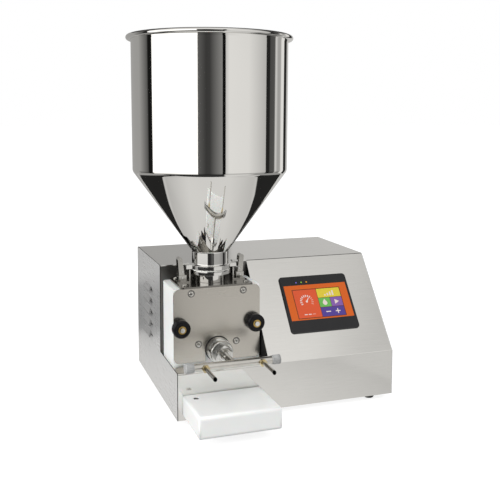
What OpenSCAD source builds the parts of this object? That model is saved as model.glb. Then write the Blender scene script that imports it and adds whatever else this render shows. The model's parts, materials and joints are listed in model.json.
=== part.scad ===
// Table-top cake filling machine: a hopper feeds a gear pump whose two needles inject filling.
// Millimetres. The front faces -Y, and the origin is the middle of the footprint at foot level.

/* [Casing] */
// Width of the casing
body_w = 380; // [340:5:440]
// Depth of the casing
body_d = 314; // [300:2:380]
// Height of the casing above its feet
body_h = 225; // [215:1:245]
// Height of the front panel and of the pump shelf
base_h = 76; // [70:1:84]
// Depth of the sloping console, which is also the depth of the pump bay
slope_run = 118.5; // [116:0.5:130]
// Width of the open pump bay
bay_w = 154; // [153:1:170]
// Thickness of the casing sheet
sheet = 1.5; // [1:0.1:2]
// Outer radius of a bend in the sheet
bend_r = 3; // [2.2:0.1:5]

/* [Feet] */
// Radius of a rubber foot at its top
foot_r = 10; // [8:0.5:13]
// Radius of a rubber foot where it stands
foot_low_r = 8.5; // [6:0.5:10]
// Height of a rubber foot
foot_h = 10; // [6:1:20]
// Distance of a foot's centre from the side
foot_inset_x = 33; // [20:1:45]
// Distance of a foot's centre from the front and the back
foot_inset_y = 22; // [16:1:40]

/* [Louvers] */
// Number of pressed louvers in the left side
louver_count = 5; // [1:1:6]
// Length of a louver
louver_len = 56; // [36:1:60]
// How far a louver's front end slants back
louver_slant = 22; // [8:1:26]
// Height of a louver
louver_h = 9; // [7:0.5:14]
// How far a louver stands out of the side
louver_proud = 6.5; // [2.5:0.5:7]
// Distance between louvers
louver_pitch = 20.4; // [16:0.2:25]
// Height of the lowest louver's centre
louver_z = 90; // [60:0.5:95]
// Distance of the louvers' centre from the front
louver_y = 204; // [180:1:230]

/* [Touch panel] */
// Width of the touch panel's bezel
bezel_w = 127; // [124:1:150]
// Height of the bezel, measured along the slope
bezel_h = 105; // [100:1:120]
// How far the bezel stands out of the slope
bezel_proud = 5; // [3:0.5:8]
// Radius of the bezel's corners
bezel_corner = 6; // [3:0.5:10]
// Distance of the bezel's centre from the left side
bezel_x = 267; // [250:1:285]
// Distance of the bezel's centre from the slope's top edge
bezel_s = 92.5; // [80:0.5:110]
// Width of the window
window_w = 117; // [90:1:118]
// Height of the window
window_h = 65; // [50:1:80]
// Distance of the window's centre above the bezel's centre
window_up = 2; // [0:0.5:6]
// Depth of the screen's glass
glass_t = 1.8; // [1:0.1:2.5]
// Width of the housing behind the slope
housing_w = 118; // [105:1:122]
// Height of the housing behind the slope
housing_h = 92; // [85:1:98]
// Depth of the housing behind the slope
housing_d = 30; // [15:1:34]

/* [Pump] */
// Width of the white pump block and of its face plate
block_w = 146; // [144:1:152]
// Distance of the block's front face behind the casing's front
block_y = 41; // [38:0.5:44]
// Height of the block above the shelf
block_h = 124; // [120:1:135]
// Distance of the pump's middle from the left side
pump_x = 77.5; // [77:0.5:79]
// Thickness of the steel face plate
face_t = 2.5; // [1.5:0.5:4]
// Radius of the face plate's corners
face_corner = 9; // [4:1:14]
// Gap between the face plate and the shelf
face_lift = 3; // [1:0.5:6]
// Half distance between the pump gears' axes
gear_half_gap = 21; // [20.9:0.05:21.1]
// Height of the gears' axes above the shelf
gear_z = 69; // [67:0.5:72]
// Number of teeth of a pump gear
gear_teeth = 12; // [12:1:12]
// Module of the pump gears
gear_module = 3.5; // [3.45:0.01:3.5]
// Radius of the shafts of the two gears
shaft_r = 8; // [6:0.5:10]
// Radius of the duct from the hopper down to the gears
duct_r = 18; // [12:1:22]
// Width of the steel plate on top of the block
top_plate_w = 123; // [118:1:136]
// Thickness of the steel plate on top of the block
top_plate_t = 3; // [2:0.5:5]

/* [Knobs] */
// Half distance between the two clamp knobs
knob_half_gap = 62.8; // [60:0.1:64]
// Height of the knobs above the shelf
knob_z = 62; // [50:1:80]
// Radius of a knob
knob_r = 14; // [11:0.5:15]
// Length of a knob
knob_len = 15; // [10:0.5:20]
// Radius of the studs
stud_r = 4; // [3:0.5:5]

/* [Hopper] */
// Distance of the hopper's axis behind the casing's front
hopper_y = 80; // [78:0.5:82]
// Outer radius of the hopper at its top
hopper_top_r = 127.5; // [115:0.5:132]
// Outer radius of the hopper where its cone starts
hopper_low_r = 126.5; // [112:0.5:132]
// Height of the rim above the top of the pump block
hopper_h = 401; // [340:0.5:450]
// Height of the cylinder, from the cone's seam to the rim
hopper_wall_h = 214; // [150:0.5:230]
// Outer radius of the neck
neck_r = 30.5; // [27:0.5:31]
// Length of the neck below the cone
neck_h = 22; // [18:1:30]
// Thickness of the hopper's sheet
hopper_wall = 1.2; // [0.8:0.1:2]
// Outer radius of the rolled rim
rim_r = 135.5; // [134:0.5:142]
// Radius of the rolled rim's bead
bead_r = 4; // [2:0.5:4]
// Radius of the hopper's bottom flange
flange_r = 33.6; // [33:0.1:35]
// Thickness of each of the two flanges
flange_t = 7; // [6:0.5:8]
// Outer radius of the socket below the flanges
socket_r = 24.8; // [22:0.1:27]
// Height of the socket below its flange
socket_h = 13.5; // [12:0.5:15]
// Thickness of the seal between the flanges
seal_t = 1.5; // [1:0.1:3]

/* [Outlet] */
// Height of the outlet above the shelf
outlet_z = 22; // [21:0.5:24]
// Radius of the round union
union_r = 20; // [17:0.5:20.5]
// Length of the union in front of the block
union_len = 29; // [20:1:32]
// Width across the flats of the union nut
nut_af = 27; // [22:1:32]
// Length of the union nut
nut_len = 12; // [8:1:16]
// Outer radius of the pipe to the manifold
pipe_r = 6; // [5:0.5:7]
// Distance of the manifold in front of the casing
manifold_y = 44; // [40:1:55]
// Outer radius of the manifold tube
manifold_r = 6.2; // [5.5:0.1:7]
// Distance between the outer ends of the two end caps
manifold_w = 153; // [130:1:170]
// Radius of an end cap
cap_r = 7.4; // [7.2:0.1:9]
// Length of an end cap
cap_len = 14; // [10:1:18]
// Number of grip ribs round an end cap
cap_ribs = 18; // [8:1:24]
// Half distance between the needles
needle_half_gap = 45.7; // [30:0.1:55]
// Outer radius of a needle
needle_r = 2.7; // [2:0.1:3.2]
// Length of a needle in front of its nut
needle_len = 44; // [30:1:70]
// Width across the flats of a needle's nut
needle_nut_af = 11; // [9:0.5:14]
// Length of a needle's nut
needle_nut_len = 8; // [6:0.5:12]

/* [Rest block] */
// Width of the white block below the needles
rest_w = 131; // [100:1:140]
// Depth of the block
rest_d = 97; // [70:1:105]
// Height of the block
rest_h = 35; // [28:1:40]
// Height of the block's top above the casing's bottom
rest_top = 42; // [38:1:50]
// Distance of the block's left side from the casing's
rest_x = 8; // [4:1:14]
// Radius of the block's edges
rest_edge = 6; // [3:0.5:9]

/* [Latches] */
// Width of a latch hook
hook_w = 8; // [6:0.5:10]
// Thickness of a latch hook
hook_t = 3; // [2:0.5:4]
// Thickness of a lever's side strap and of a base's cheek
strap_t = 2; // [1.5:0.1:3]
// Distance of a lever's pivot from the hopper's axis
pivot_u = 50; // [49.5:0.1:51]
// Height of a lever's pivot above the top plate
pivot_h = 8; // [7.5:0.1:9]
// Height of a hook's pin above the lever's pivot
hook_rise = 10; // [9:0.1:11]
// Height of a lever's end above its pivot
lever_h = 34; // [33:0.5:38]
// Radius of a lever's pivot pin
pivot_r = 2; // [1.5:0.1:2.5]
// Radius of a hook's pin
hook_pin_r = 1.6; // [1.2:0.1:2]

/* [Drive] */
// Width and height of the gearbox
gearbox_w = 70; // [60:1:80]
// Length of the gearbox
gearbox_len = 45; // [35:1:60]
// Radius of the motor
motor_r = 34; // [28:1:38]
// Gap between the motor and the back panel
motor_gap = 27.5; // [15:0.5:40]
// Radius of the shaft coupling
coupling_r = 13; // [12:0.5:18]
// Length of the shaft coupling
coupling_len = 24; // [16:1:26]

/* [Back] */
// Width of the power inlet's flange
inlet_w = 30; // [28:1:36]
// Height of the power inlet's flange
inlet_h = 58; // [56:1:66]
// How far the inlet's flange stands out of the back
inlet_proud = 2.5; // [1.5:0.5:4]
// Distance of the inlet's centre from the right side
inlet_x = 50; // [35:1:90]
// Height of the inlet's centre above the casing's bottom
inlet_z = 60; // [45:1:90]

/* [Hidden] */
$fn = 64;
// A cut runs this far past the face that it opens
over = 1;
// Radial clearance of a running fit
run_gap = 0.05;
// Clearance between faces that move past each other
move_gap = 0.3;
steel = "silver";
white_plastic = "whitesmoke";
hull_fn = 32;

slope_rise = body_h - base_h;
slope_len = norm([slope_run, slope_rise]);
slope_angle = atan2(slope_rise, slope_run);
slope_dir = [cos(slope_angle), sin(slope_angle)];

block_top = base_h + block_h;
plate_top = block_top + top_plate_t;
gear_axis_z = base_h + gear_z;
knob_axis_z = base_h + knob_z;
outlet_axis_z = base_h + outlet_z;
drive_x = pump_x + gear_half_gap;
idler_x = pump_x - gear_half_gap;

socket_top = plate_top + socket_h + flange_t;
flange_z = socket_top + seal_t;
flange_top = flange_z + flange_t;
cone_z = flange_top + neck_h;
rim_z = block_top + hopper_h;
seam_z = rim_z - hopper_wall_h;

needle_root_y = -manifold_y - manifold_r;
needle_nut_y = needle_root_y - move_gap;
needle_tip_y = needle_nut_y - needle_nut_len - needle_len;
rear_y = body_d + inlet_proud;
origin_x = (pump_x - rim_r + body_w) / 2;
origin_y = (needle_tip_y + rear_y) / 2;

// Moves a piece from the casing's own corner to the part's origin
module in_frame() { translate([-origin_x, -origin_y, foot_h]) children(); }

// Places a piece on the slope: x from the left side, s down from the top edge, +Z out of the slope
module on_slope(x, s) {
    translate([x, slope_run - s * slope_dir[0], body_h - s * slope_dir[1]])
        rotate([slope_angle, 0, 0]) children();
}

// Turns a piece made along +Z so that it points to the front, from the point [x, y, z]
module forward(x, y, z) { translate([x, y, z]) rotate([90, 0, 0]) children(); }

// Mirrors a piece made on the right of the pump's axis to the side that is asked for
module on_side(side) { translate([pump_x, hopper_y, 0]) scale_side(side) children(); }
module scale_side(side) { if (side < 0) mirror([1, 0, 0]) children(); else children(); }

// A rectangle about the origin with round corners
module round_rect(w, h, r) {
    square([w - 2 * r, h], center = true);
    square([w, h - 2 * r], center = true);
    for (sx = [-1, 1], sy = [-1, 1])
        translate([sx * (w / 2 - r), sy * (h / 2 - r)]) circle(r);
}

// A tube along +Z
module ring(r_out, r_in, h) {
    difference() {
        cylinder(r = r_out, h = h);
        translate([0, 0, -over]) cylinder(r = r_in, h = h + 2 * over);
    }
}

// A screw along +Z with its head on top of z = 0 and a hexagon socket in the head
module socket_screw(shank_r, shank_len, head_r, head_h, key_r) {
    translate([0, 0, -shank_len]) cylinder(r = shank_r, h = shank_len + head_h / 2);
    difference() {
        rotate_extrude() polygon([[0, 0], [head_r, 0], [head_r, head_h / 2],
            [head_r * head_shoulder_share, head_h], [0, head_h]]);
        translate([0, 0, head_h / 2]) cylinder(r = key_r, h = head_h, $fn = 6);
    }
}
head_shoulder_share = 0.72;

// Casing

// Points of a bend of a strip, about the centre of its outer radius
function bend(corner, u, v, r_outer, r, steps = 6) =
    let (turn = acos(u * v), inward = [u[1], -u[0]], start = corner - u * r_outer * tan(turn / 2),
        centre = start + inward * r_outer)
    [for (i = [0:steps]) let (a = -turn * i / steps)
        centre - r * [inward[0] * cos(a) - inward[1] * sin(a), inward[0] * sin(a) + inward[1] * cos(a)]];

up = [0, 1];
back = [1, 0];
// Side profile [y, z] of the bent sheet over the console: front, slope and top
function console_line(r, inset) = concat([[inset, 0]],
    bend([0, base_h], up, slope_dir, bend_r, r),
    bend([slope_run, body_h], slope_dir, back, bend_r, r),
    [[body_d - sheet, body_h - inset]]);
// Side profile of the same sheet at the pump bay: front, then folded back as the shelf
function shelf_line(r, inset) = concat([[inset, 0]], bend([0, base_h], up, back, bend_r, r),
    [[slope_run + sheet, base_h - inset]]);
function reversed(list) = [for (i = [len(list) - 1:-1:0]) list[i]];
function strip(outer, inner) = concat(outer, reversed(inner));

// Extrudes a [y, z] profile along X
module along_x(x0, x1) {
    translate([x0, 0, 0]) rotate([90, 0, 90]) linear_extrude(x1 - x0) children();
}

module console_cover() color(steel) in_frame() {
    difference() {
        along_x(bay_w, body_w - sheet)
            polygon(strip(console_line(bend_r, 0), console_line(bend_r - sheet, sheet)));
        on_slope(bezel_x, bezel_s) translate([0, 0, -bend_r]) linear_extrude(2 * bend_r)
            square([housing_w + 2 * move_gap, housing_h + 2 * move_gap], center = true);
    }
    along_x(sheet, bay_w + over)
        polygon(strip(shelf_line(bend_r, 0), shelf_line(bend_r - sheet, sheet)));
    translate([sheet, slope_run, body_h - sheet]) cube([bay_w, body_d - sheet - slope_run, sheet]);
}

wall_inset = sheet * slope_len / slope_rise;
seal_hole_r = 14;

module recess_wall() color(steel) in_frame() {
    difference() {
        translate([sheet, slope_run, base_h])
            cube([bay_w - sheet, sheet, slope_rise - sheet]);
        forward(drive_x, slope_run + sheet + over, gear_axis_z)
            cylinder(r = seal_hole_r, h = sheet + 2 * over);
    }
    along_x(bay_w, bay_w + sheet) polygon([[wall_inset, base_h], [slope_run + sheet, base_h],
        [slope_run + sheet, body_h - bend_r],
        [wall_inset + (slope_rise - bend_r) * slope_run / slope_rise, body_h - bend_r]]);
}

module base_pan() color(steel) in_frame() {
    difference() {
        translate([sheet, sheet, 0]) cube([body_w - 2 * sheet, body_d - 2 * sheet, sheet]);
        for (x = [foot_inset_x, body_w - foot_inset_x], y = [foot_inset_y, body_d - foot_inset_y])
            translate([x, y, -over]) cylinder(r = foot_screw_r, h = sheet + 2 * over);
    }
    for (x = [sheet, body_w - 2 * sheet])
        translate([x, sheet, sheet]) cube([sheet, body_d - 2 * sheet, pan_lip]);
}
pan_lip = 14;
foot_screw_r = 2.5;

module rubber_feet() color("black") in_frame() {
    for (x = [foot_inset_x, body_w - foot_inset_x], y = [foot_inset_y, body_d - foot_inset_y])
        translate([x, y, -foot_h]) {
            rotate_extrude() polygon([[0, 0], [foot_low_r - foot_edge, 0], [foot_low_r, foot_edge],
                [foot_r, foot_h - foot_edge], [foot_r, foot_h], [0, foot_h]]);
            translate([0, 0, foot_h]) cylinder(r = foot_screw_r, h = sheet + foot_edge);
        }
}
foot_edge = 1.2;

module left_side_panel() color(steel) in_frame() {
    difference() {
        along_x(0, sheet) polygon([[0, 0], [body_d, 0], [body_d, body_h], [slope_run, body_h],
            [slope_run, base_h], [0, base_h]]);
        for (i = [0:louver_count - 1])
            translate([0, louver_y, louver_z + i * louver_pitch])
                along_x(-over, sheet + over) louver_outline(sheet, 2 * sheet);
    }
    for (i = [0:louver_count - 1])
        translate([0, louver_y, louver_z + i * louver_pitch]) louver_hood();
}

// A louver's outline from the side, with its front end slanting back and its back and top edges drawn in
module louver_outline(back_in, top_in) {
    polygon([[-louver_len / 2, -louver_h / 2], [louver_len / 2 - back_in, -louver_h / 2],
        [louver_len / 2 - back_in, louver_h / 2 - top_in],
        [louver_slant * (1 - top_in / louver_h) - louver_len / 2, louver_h / 2 - top_in]]);
}

// A pressed louver: a slanting hood, open along its lower edge and at its front end, closed at the back
module louver_hood() {
    outer = [[0, louver_h / 2], [-louver_proud, -louver_h / 2 + sheet], [-louver_proud, -louver_h / 2]];
    intersection() {
        union() {
            translate([0, louver_len / 2, 0]) rotate([90, 0, 0])
                linear_extrude(louver_len) polygon(concat(outer, [[-louver_proud + sheet, -louver_h / 2],
                    [0, louver_h / 2 - 2 * sheet]]));
            translate([0, louver_len / 2, 0]) rotate([90, 0, 0])
                linear_extrude(sheet) polygon(concat(outer, [[0, -louver_h / 2]]));
        }
        along_x(-louver_proud, 0) louver_outline(0, 0);
    }
}

module right_side_panel() color(steel) in_frame() {
    along_x(body_w - sheet, body_w) polygon([[0, 0], [body_d, 0], [body_d, body_h],
        [slope_run, body_h], [0, base_h]]);
}

vent_count = 8;
vent_w = 60;
vent_h = 4;
vent_pitch = 10;
vent_drop = 35;
vent_end_share = 0.49;
panel_screw_r = 2;
panel_screw_head_r = 3.8;
panel_screw_head_h = 2.2;
panel_screw_len = 8;
panel_screw_key_r = 1.4;
panel_screw_inset = 14;
function panel_screw_places() = [for (x = [panel_screw_inset, body_w / 2, body_w - panel_screw_inset],
    z = [panel_screw_inset, body_h - panel_screw_inset]) [x, z]];

module back_panel() color(steel) in_frame() {
    difference() {
        translate([sheet, body_d - sheet, 0]) cube([body_w - 2 * sheet, sheet, body_h]);
        for (x = [body_w / 4, body_w * 3 / 4], i = [0:vent_count - 1])
            translate([x, body_d + over, body_h - vent_drop - i * vent_pitch]) rotate([90, 0, 0])
                linear_extrude(sheet + 2 * over) round_rect(vent_w, vent_h, vent_h * vent_end_share);
        translate([body_w - inlet_x, body_d + over, inlet_z]) rotate([90, 0, 0])
            linear_extrude(sheet + 2 * over) square([inlet_body_w, inlet_body_h], center = true);
        for (p = panel_screw_places())
            forward(p[0], body_d + over, p[1]) cylinder(r = panel_screw_r, h = sheet + 2 * over);
    }
}

module panel_screws() color("gray") in_frame() {
    for (p = panel_screw_places())
        translate([p[0], body_d, p[1]]) rotate([-90, 0, 0])
            socket_screw(panel_screw_r, panel_screw_len, panel_screw_head_r, panel_screw_head_h,
                panel_screw_key_r);
}

// Touch panel
bezel_frame = 3;

module touch_bezel() color("dimgray") in_frame() on_slope(bezel_x, bezel_s) {
    difference() {
        union() {
            linear_extrude(bezel_proud - bezel_frame / 2) round_rect(bezel_w, bezel_h, bezel_corner);
            translate([0, 0, bezel_proud - bezel_frame / 2]) linear_extrude(bezel_frame / 2)
                round_rect(bezel_w - bezel_frame / 2, bezel_h - bezel_frame / 2, bezel_corner);
        }
        translate([0, window_up, bezel_proud - glass_t]) linear_extrude(glass_t + over)
            square([window_w, window_h], center = true);
    }
}

module touch_screen() color("orangered") in_frame() on_slope(bezel_x, bezel_s)
    translate([0, window_up, bezel_proud - glass_t]) linear_extrude(glass_t - screen_sunk)
        square([window_w, window_h], center = true);
screen_sunk = 0.3;

module touch_housing() color("dimgray") in_frame() on_slope(bezel_x, bezel_s) {
    translate([0, 0, -housing_d]) linear_extrude(housing_d)
        square([housing_w, housing_h], center = true);
    translate([-plug_w / 2, -housing_h / 4, -housing_d - plug_d]) cube([plug_w, plug_h, plug_d]);
}
plug_w = 40;
plug_h = 12;
plug_d = 8;

// Pump

// Involute gear outline: pressure angle, tip and root follow the module
pressure = 25;
tip_share = 0.9;
root_share = 1.2;
backlash = 0.25;
flank_steps = 5;
pitch_r = gear_module * gear_teeth / 2;
base_r = pitch_r * cos(pressure);
tip_r = pitch_r + tip_share * gear_module;
root_r = pitch_r - root_share * gear_module;
chamber_r = tip_r + move_gap;

// Angle that the involute has turned where it reaches radius r
function involute_turn(r) = r <= base_r ? 0 : tan(acos(base_r / r)) * 180 / PI - acos(base_r / r);
// Half the angle that a tooth spans at radius r
function half_tooth(r) = 90 / gear_teeth - backlash / pitch_r * 90 / PI
    + involute_turn(pitch_r) - involute_turn(r);
function flank(side) = [for (i = [0:flank_steps])
    let (r = root_r + (tip_r - root_r) * i / flank_steps, a = side * half_tooth(r))
    r * [cos(a), sin(a)]];
function turned(points, a) = [for (p = points)
    [p[0] * cos(a) - p[1] * sin(a), p[0] * sin(a) + p[1] * cos(a)]];
gear_outline = [for (t = [0:gear_teeth - 1], p = turned(concat(flank(-1), reversed(flank(1))),
    t * 360 / gear_teeth)) p];

module pump_gear(bore_r) {
    difference() {
        linear_extrude(gear_len) polygon(gear_outline);
        translate([0, 0, -over]) cylinder(r = bore_r, h = gear_len + 2 * over);
    }
}

chamber_depth = 59;
gear_len = chamber_depth - 2 * move_gap;
bush_r = 12;
bush_len = 11;
seal_r = 13;
bush_y = block_y + chamber_depth;
seal_y = bush_y + bush_len;
idler_pin_len = chamber_depth + bush_len;
outlet_duct_r = 6;
outlet_turn_depth = 32;
outlet_turn_y = block_y + outlet_turn_depth;
union_thread_r = 12;
union_thread_len = 20;
face_screw_r = 2.5;
face_screw_len = 16;
face_screw_head_r = 4.6;
face_screw_head_h = 2.8;
face_screw_key_r = 1.7;
face_screw_top_x = 44;
face_screw_drop = 8;
face_screw_low_x = 32;
face_screw_low_z = 32;
face_screw_up = [[face_screw_top_x, block_h - face_screw_drop], [face_screw_low_x, face_screw_low_z]];
stud_seat = 24;
block_corner = 8;
plate_screw_inset = 9;
plate_screw_r = 2.5;
plate_screw_len = 14;

module pump_block() color(white_plastic) in_frame() {
    difference() {
        translate([pump_x - block_w / 2, block_y, base_h])
            block_shape(block_w, slope_run - block_y, block_h);
        for (x = [drive_x, idler_x])
            forward(x, bush_y, gear_axis_z) cylinder(r = chamber_r, h = chamber_depth + over);
        translate([pump_x, hopper_y, gear_axis_z]) cylinder(r = duct_r, h = block_top);
        translate([pump_x, outlet_turn_y, outlet_axis_z]) cylinder(r = outlet_duct_r, h = gear_z - outlet_z);
        forward(pump_x, outlet_turn_y + outlet_duct_r, outlet_axis_z)
            cylinder(r = outlet_duct_r, h = outlet_turn_y);
        forward(pump_x, block_y + union_thread_len, outlet_axis_z)
            cylinder(r = union_thread_r, h = union_thread_len + over);
        forward(drive_x, seal_y, gear_axis_z) cylinder(r = bush_r, h = bush_len + over);
        forward(drive_x, slope_run + over, gear_axis_z)
            cylinder(r = seal_r, h = slope_run + over - seal_y);
        forward(idler_x, seal_y, gear_axis_z) cylinder(r = shaft_r, h = bush_len + over);
        for (sx = [-1, 1]) {
            forward(pump_x + sx * knob_half_gap, block_y + stud_seat, knob_axis_z)
                cylinder(r = stud_r, h = stud_seat + over);
            for (p = face_screw_up)
                forward(pump_x + sx * p[0], block_y + face_screw_len, base_h + p[1])
                    cylinder(r = face_screw_r, h = face_screw_len + over);
        }
        for (p = plate_screw_places())
            translate([p[0], p[1], block_top - plate_screw_len]) cylinder(r = plate_screw_r, h = block_h);
    }
}

// The block's plan: square at the front, with round corners at the back
module block_shape(w, d, h) {
    linear_extrude(h) {
        square([w, d - block_corner]);
        translate([block_corner, 0]) square([w - 2 * block_corner, d]);
        for (x = [block_corner, w - block_corner]) translate([x, d - block_corner]) circle(block_corner);
    }
}

module pump_face_plate() color(steel) in_frame() {
    plate_h = block_h - face_lift;
    notch_r = union_r + notch_gap;
    difference() {
        forward(pump_x, block_y, base_h + face_lift + plate_h / 2)
            linear_extrude(face_t) round_rect(block_w, plate_h, face_corner);
        forward(pump_x, block_y + over, outlet_axis_z) linear_extrude(face_t + 2 * over) {
            circle(notch_r);
            translate([-notch_r, -outlet_z]) square([2 * notch_r, outlet_z]);
        }
        for (sx = [-1, 1]) {
            forward(pump_x + sx * knob_half_gap, block_y + over, knob_axis_z)
                cylinder(r = stud_r + move_gap, h = face_t + 2 * over);
            for (p = face_screw_up)
                forward(pump_x + sx * p[0], block_y + over, base_h + p[1])
                    cylinder(r = face_screw_r, h = face_t + 2 * over);
        }
    }
}
notch_gap = 1.2;

module face_plate_screws() color("gray") in_frame() {
    for (sx = [-1, 1], p = face_screw_up)
        forward(pump_x + sx * p[0], block_y - face_t, base_h + p[1])
            socket_screw(face_screw_r, face_screw_len, face_screw_head_r, face_screw_head_h, face_screw_key_r);
}

module drive_gear() color("gainsboro") in_frame()
    forward(drive_x, bush_y - move_gap, gear_axis_z) pump_gear(shaft_r);

module idler_gear() color("gainsboro") in_frame()
    forward(idler_x, bush_y - move_gap, gear_axis_z) rotate(180 / gear_teeth) pump_gear(shaft_r + run_gap);

module idler_pin() color("silver") in_frame()
    forward(idler_x, seal_y, gear_axis_z) cylinder(r = shaft_r, h = idler_pin_len - move_gap);

module drive_shaft() color("silver") in_frame()
    forward(drive_x, shaft_end_y, gear_axis_z)
        cylinder(r = shaft_r, h = shaft_end_y - block_y - move_gap);

module shaft_bush() color("peru") in_frame()
    forward(drive_x, seal_y, gear_axis_z) ring(bush_r, shaft_r + run_gap, bush_len);

module shaft_seal() color("black") in_frame()
    forward(drive_x, slope_run, gear_axis_z) ring(seal_r, shaft_r + move_gap, slope_run - seal_y);

// Knobs on their studs
knob_lift = 0.3;
insert_r = 6.4;
insert_proud = 0.8;
stud_proud = 3;
knob_edge = 4;
knob_back_y = block_y - face_t - knob_lift;
knob_face_y = knob_back_y - knob_len;

module knob_studs() color("silver") in_frame() {
    for (sx = [-1, 1])
        forward(pump_x + sx * knob_half_gap, block_y + stud_seat, knob_axis_z)
            cylinder(r = stud_r, h = block_y + stud_seat - knob_face_y + stud_proud);
}

module knob(side) color("black") in_frame()
    forward(pump_x + side * knob_half_gap, knob_back_y, knob_axis_z) {
        outline = concat([[insert_r, 0], [knob_r - knob_edge / 2, 0], [knob_r, knob_edge / 2]],
            [for (a = [0:15:90]) [knob_r - knob_edge + knob_edge * cos(a),
                knob_len - knob_edge + knob_edge * sin(a)]], [[insert_r, knob_len]]);
        rotate_extrude() polygon(outline);
    }

module knob_insert(side) color("goldenrod") in_frame()
    forward(pump_x + side * knob_half_gap, knob_back_y, knob_axis_z)
        ring(insert_r, stud_r + run_gap, knob_len + insert_proud);

module knob_left() knob(-1);
module knob_right() knob(1);
module knob_insert_left() knob_insert(-1);
module knob_insert_right() knob_insert(1);

// Top plate, socket and hopper
function plate_screw_places() = [for (sx = [-1, 1], y = [block_y + plate_screw_inset,
    slope_run - plate_screw_inset]) [pump_x + sx * (top_plate_w / 2 - plate_screw_inset), y]];
plate_front = 3;
plate_corner = 6;
plate_depth = slope_run - block_y + plate_front;

module top_plate() color(steel) in_frame() {
    difference() {
        translate([pump_x, slope_run - plate_depth / 2, block_top])
            linear_extrude(top_plate_t) round_rect(top_plate_w, plate_depth, plate_corner);
        translate([pump_x, hopper_y, block_top - over]) cylinder(r = duct_r, h = top_plate_t + 2 * over);
        for (p = plate_screw_places())
            translate([p[0], p[1], block_top - over]) cylinder(r = plate_screw_r, h = top_plate_t + 2 * over);
    }
}

module top_plate_screws() color("gray") in_frame() {
    for (p = plate_screw_places()) translate([p[0], p[1], plate_top])
        socket_screw(plate_screw_r, plate_screw_len, face_screw_head_r, face_screw_head_h, face_screw_key_r);
}

module inlet_socket() color(steel) in_frame() translate([pump_x, hopper_y, plate_top]) {
    ring(socket_r, duct_r, socket_h + flange_t);
    translate([0, 0, socket_h]) ring(flange_r, duct_r, flange_t);
}

module hopper_seal() color("white") in_frame()
    translate([pump_x, hopper_y, socket_top]) ring(flange_r - seal_inset, duct_r + seal_inset, seal_t);
seal_inset = 1.5;

// Ears of the hopper's flange, which the hooks hold down
ear_end = 44;
ear_w = 14;
flare_h = 6;

module hopper() color(steel) in_frame() translate([pump_x, hopper_y, 0]) {
    cone_h = seam_z - cone_z;
    slant = hopper_wall / cos(atan2(hopper_low_r - neck_r, cone_h));
    neck_in = neck_r - hopper_wall;
    rotate_extrude() polygon([[neck_r, flange_z], [neck_r, cone_z], [hopper_low_r, seam_z],
        [hopper_top_r, rim_z - flare_h], [rim_r - bead_r, rim_z - bead_r / 2], [rim_r - bead_r, rim_z],
        [rim_r - 2 * bead_r, rim_z], [hopper_top_r - hopper_wall, rim_z - flare_h + hopper_wall],
        [hopper_low_r - slant, seam_z + hopper_wall / 2], [neck_in, cone_z + hopper_wall / 2],
        [neck_in, flange_z]]);
    translate([0, 0, rim_z]) rotate_extrude() translate([rim_r - bead_r, 0]) circle(bead_r, $fn = hull_fn);
    difference() {
        translate([0, 0, flange_z]) {
            cylinder(r = flange_r, h = flange_t);
            translate([-ear_end, -ear_w / 2, 0]) cube([2 * ear_end, ear_w, flange_t]);
        }
        translate([0, 0, flange_z - over]) cylinder(r = neck_in, h = flange_t + 2 * over);
    }
}

// Latches: base with two cheeks, lever of two straps, hook over the hopper's ear
foot_plate_t = 2;
upright_u = 36.5;
base_end_behind = 8;
base_end_u = pivot_u + base_end_behind;
lever_w = hook_w + 2 * move_gap + 2 * strap_t;
cheek_in = lever_w / 2 + move_gap;
base_w = 2 * (cheek_in + strap_t);
cheek_ahead = 7;
cheek_behind = 6;
cheek_u = [pivot_u - cheek_ahead, pivot_u + cheek_behind];
lever_r = 4.6;
lever_grip_r = 4;
lever_lean = 3;
lever_grip_u = pivot_u + lever_lean;
pivot_z = plate_top + pivot_h;
hook_pin_z = pivot_z + hook_rise;
hook_pin_ahead = 1;
hook_pin_u = pivot_u - hook_pin_ahead;
hook_tip_u = 37;
hook_z = flange_top + move_gap;

// Extrudes an [x, z] profile along Y, centred on the hopper's axis
module along_y(w) { translate([0, w / 2, 0]) rotate([90, 0, 0]) linear_extrude(w) children(); }

module latch_base(side) color("lightgray") in_frame() on_side(side) difference() {
    union() {
        translate([upright_u, -base_w / 2, plate_top]) cube([base_end_u - upright_u, base_w, foot_plate_t]);
        translate([upright_u, -base_w / 2, plate_top])
            cube([strap_t, base_w, flange_z - plate_top - move_gap]);
        for (y = [-base_w / 2, cheek_in])
            translate([cheek_u[0], y, plate_top]) cube([cheek_u[1] - cheek_u[0], strap_t, pivot_h + lever_r]);
    }
    translate([pivot_u, 0, pivot_z]) rotate([90, 0, 0]) translate([0, 0, -base_w])
        cylinder(r = pivot_r, h = 2 * base_w);
}

// Outline [x, z] of one lever strap, from the pivot up to the grip
module lever_outline() {
    hull() {
        translate([pivot_u, pivot_z]) circle(lever_r, $fn = hull_fn);
        translate([lever_grip_u, pivot_z + lever_h - lever_grip_r]) circle(lever_grip_r, $fn = hull_fn);
    }
}

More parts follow.
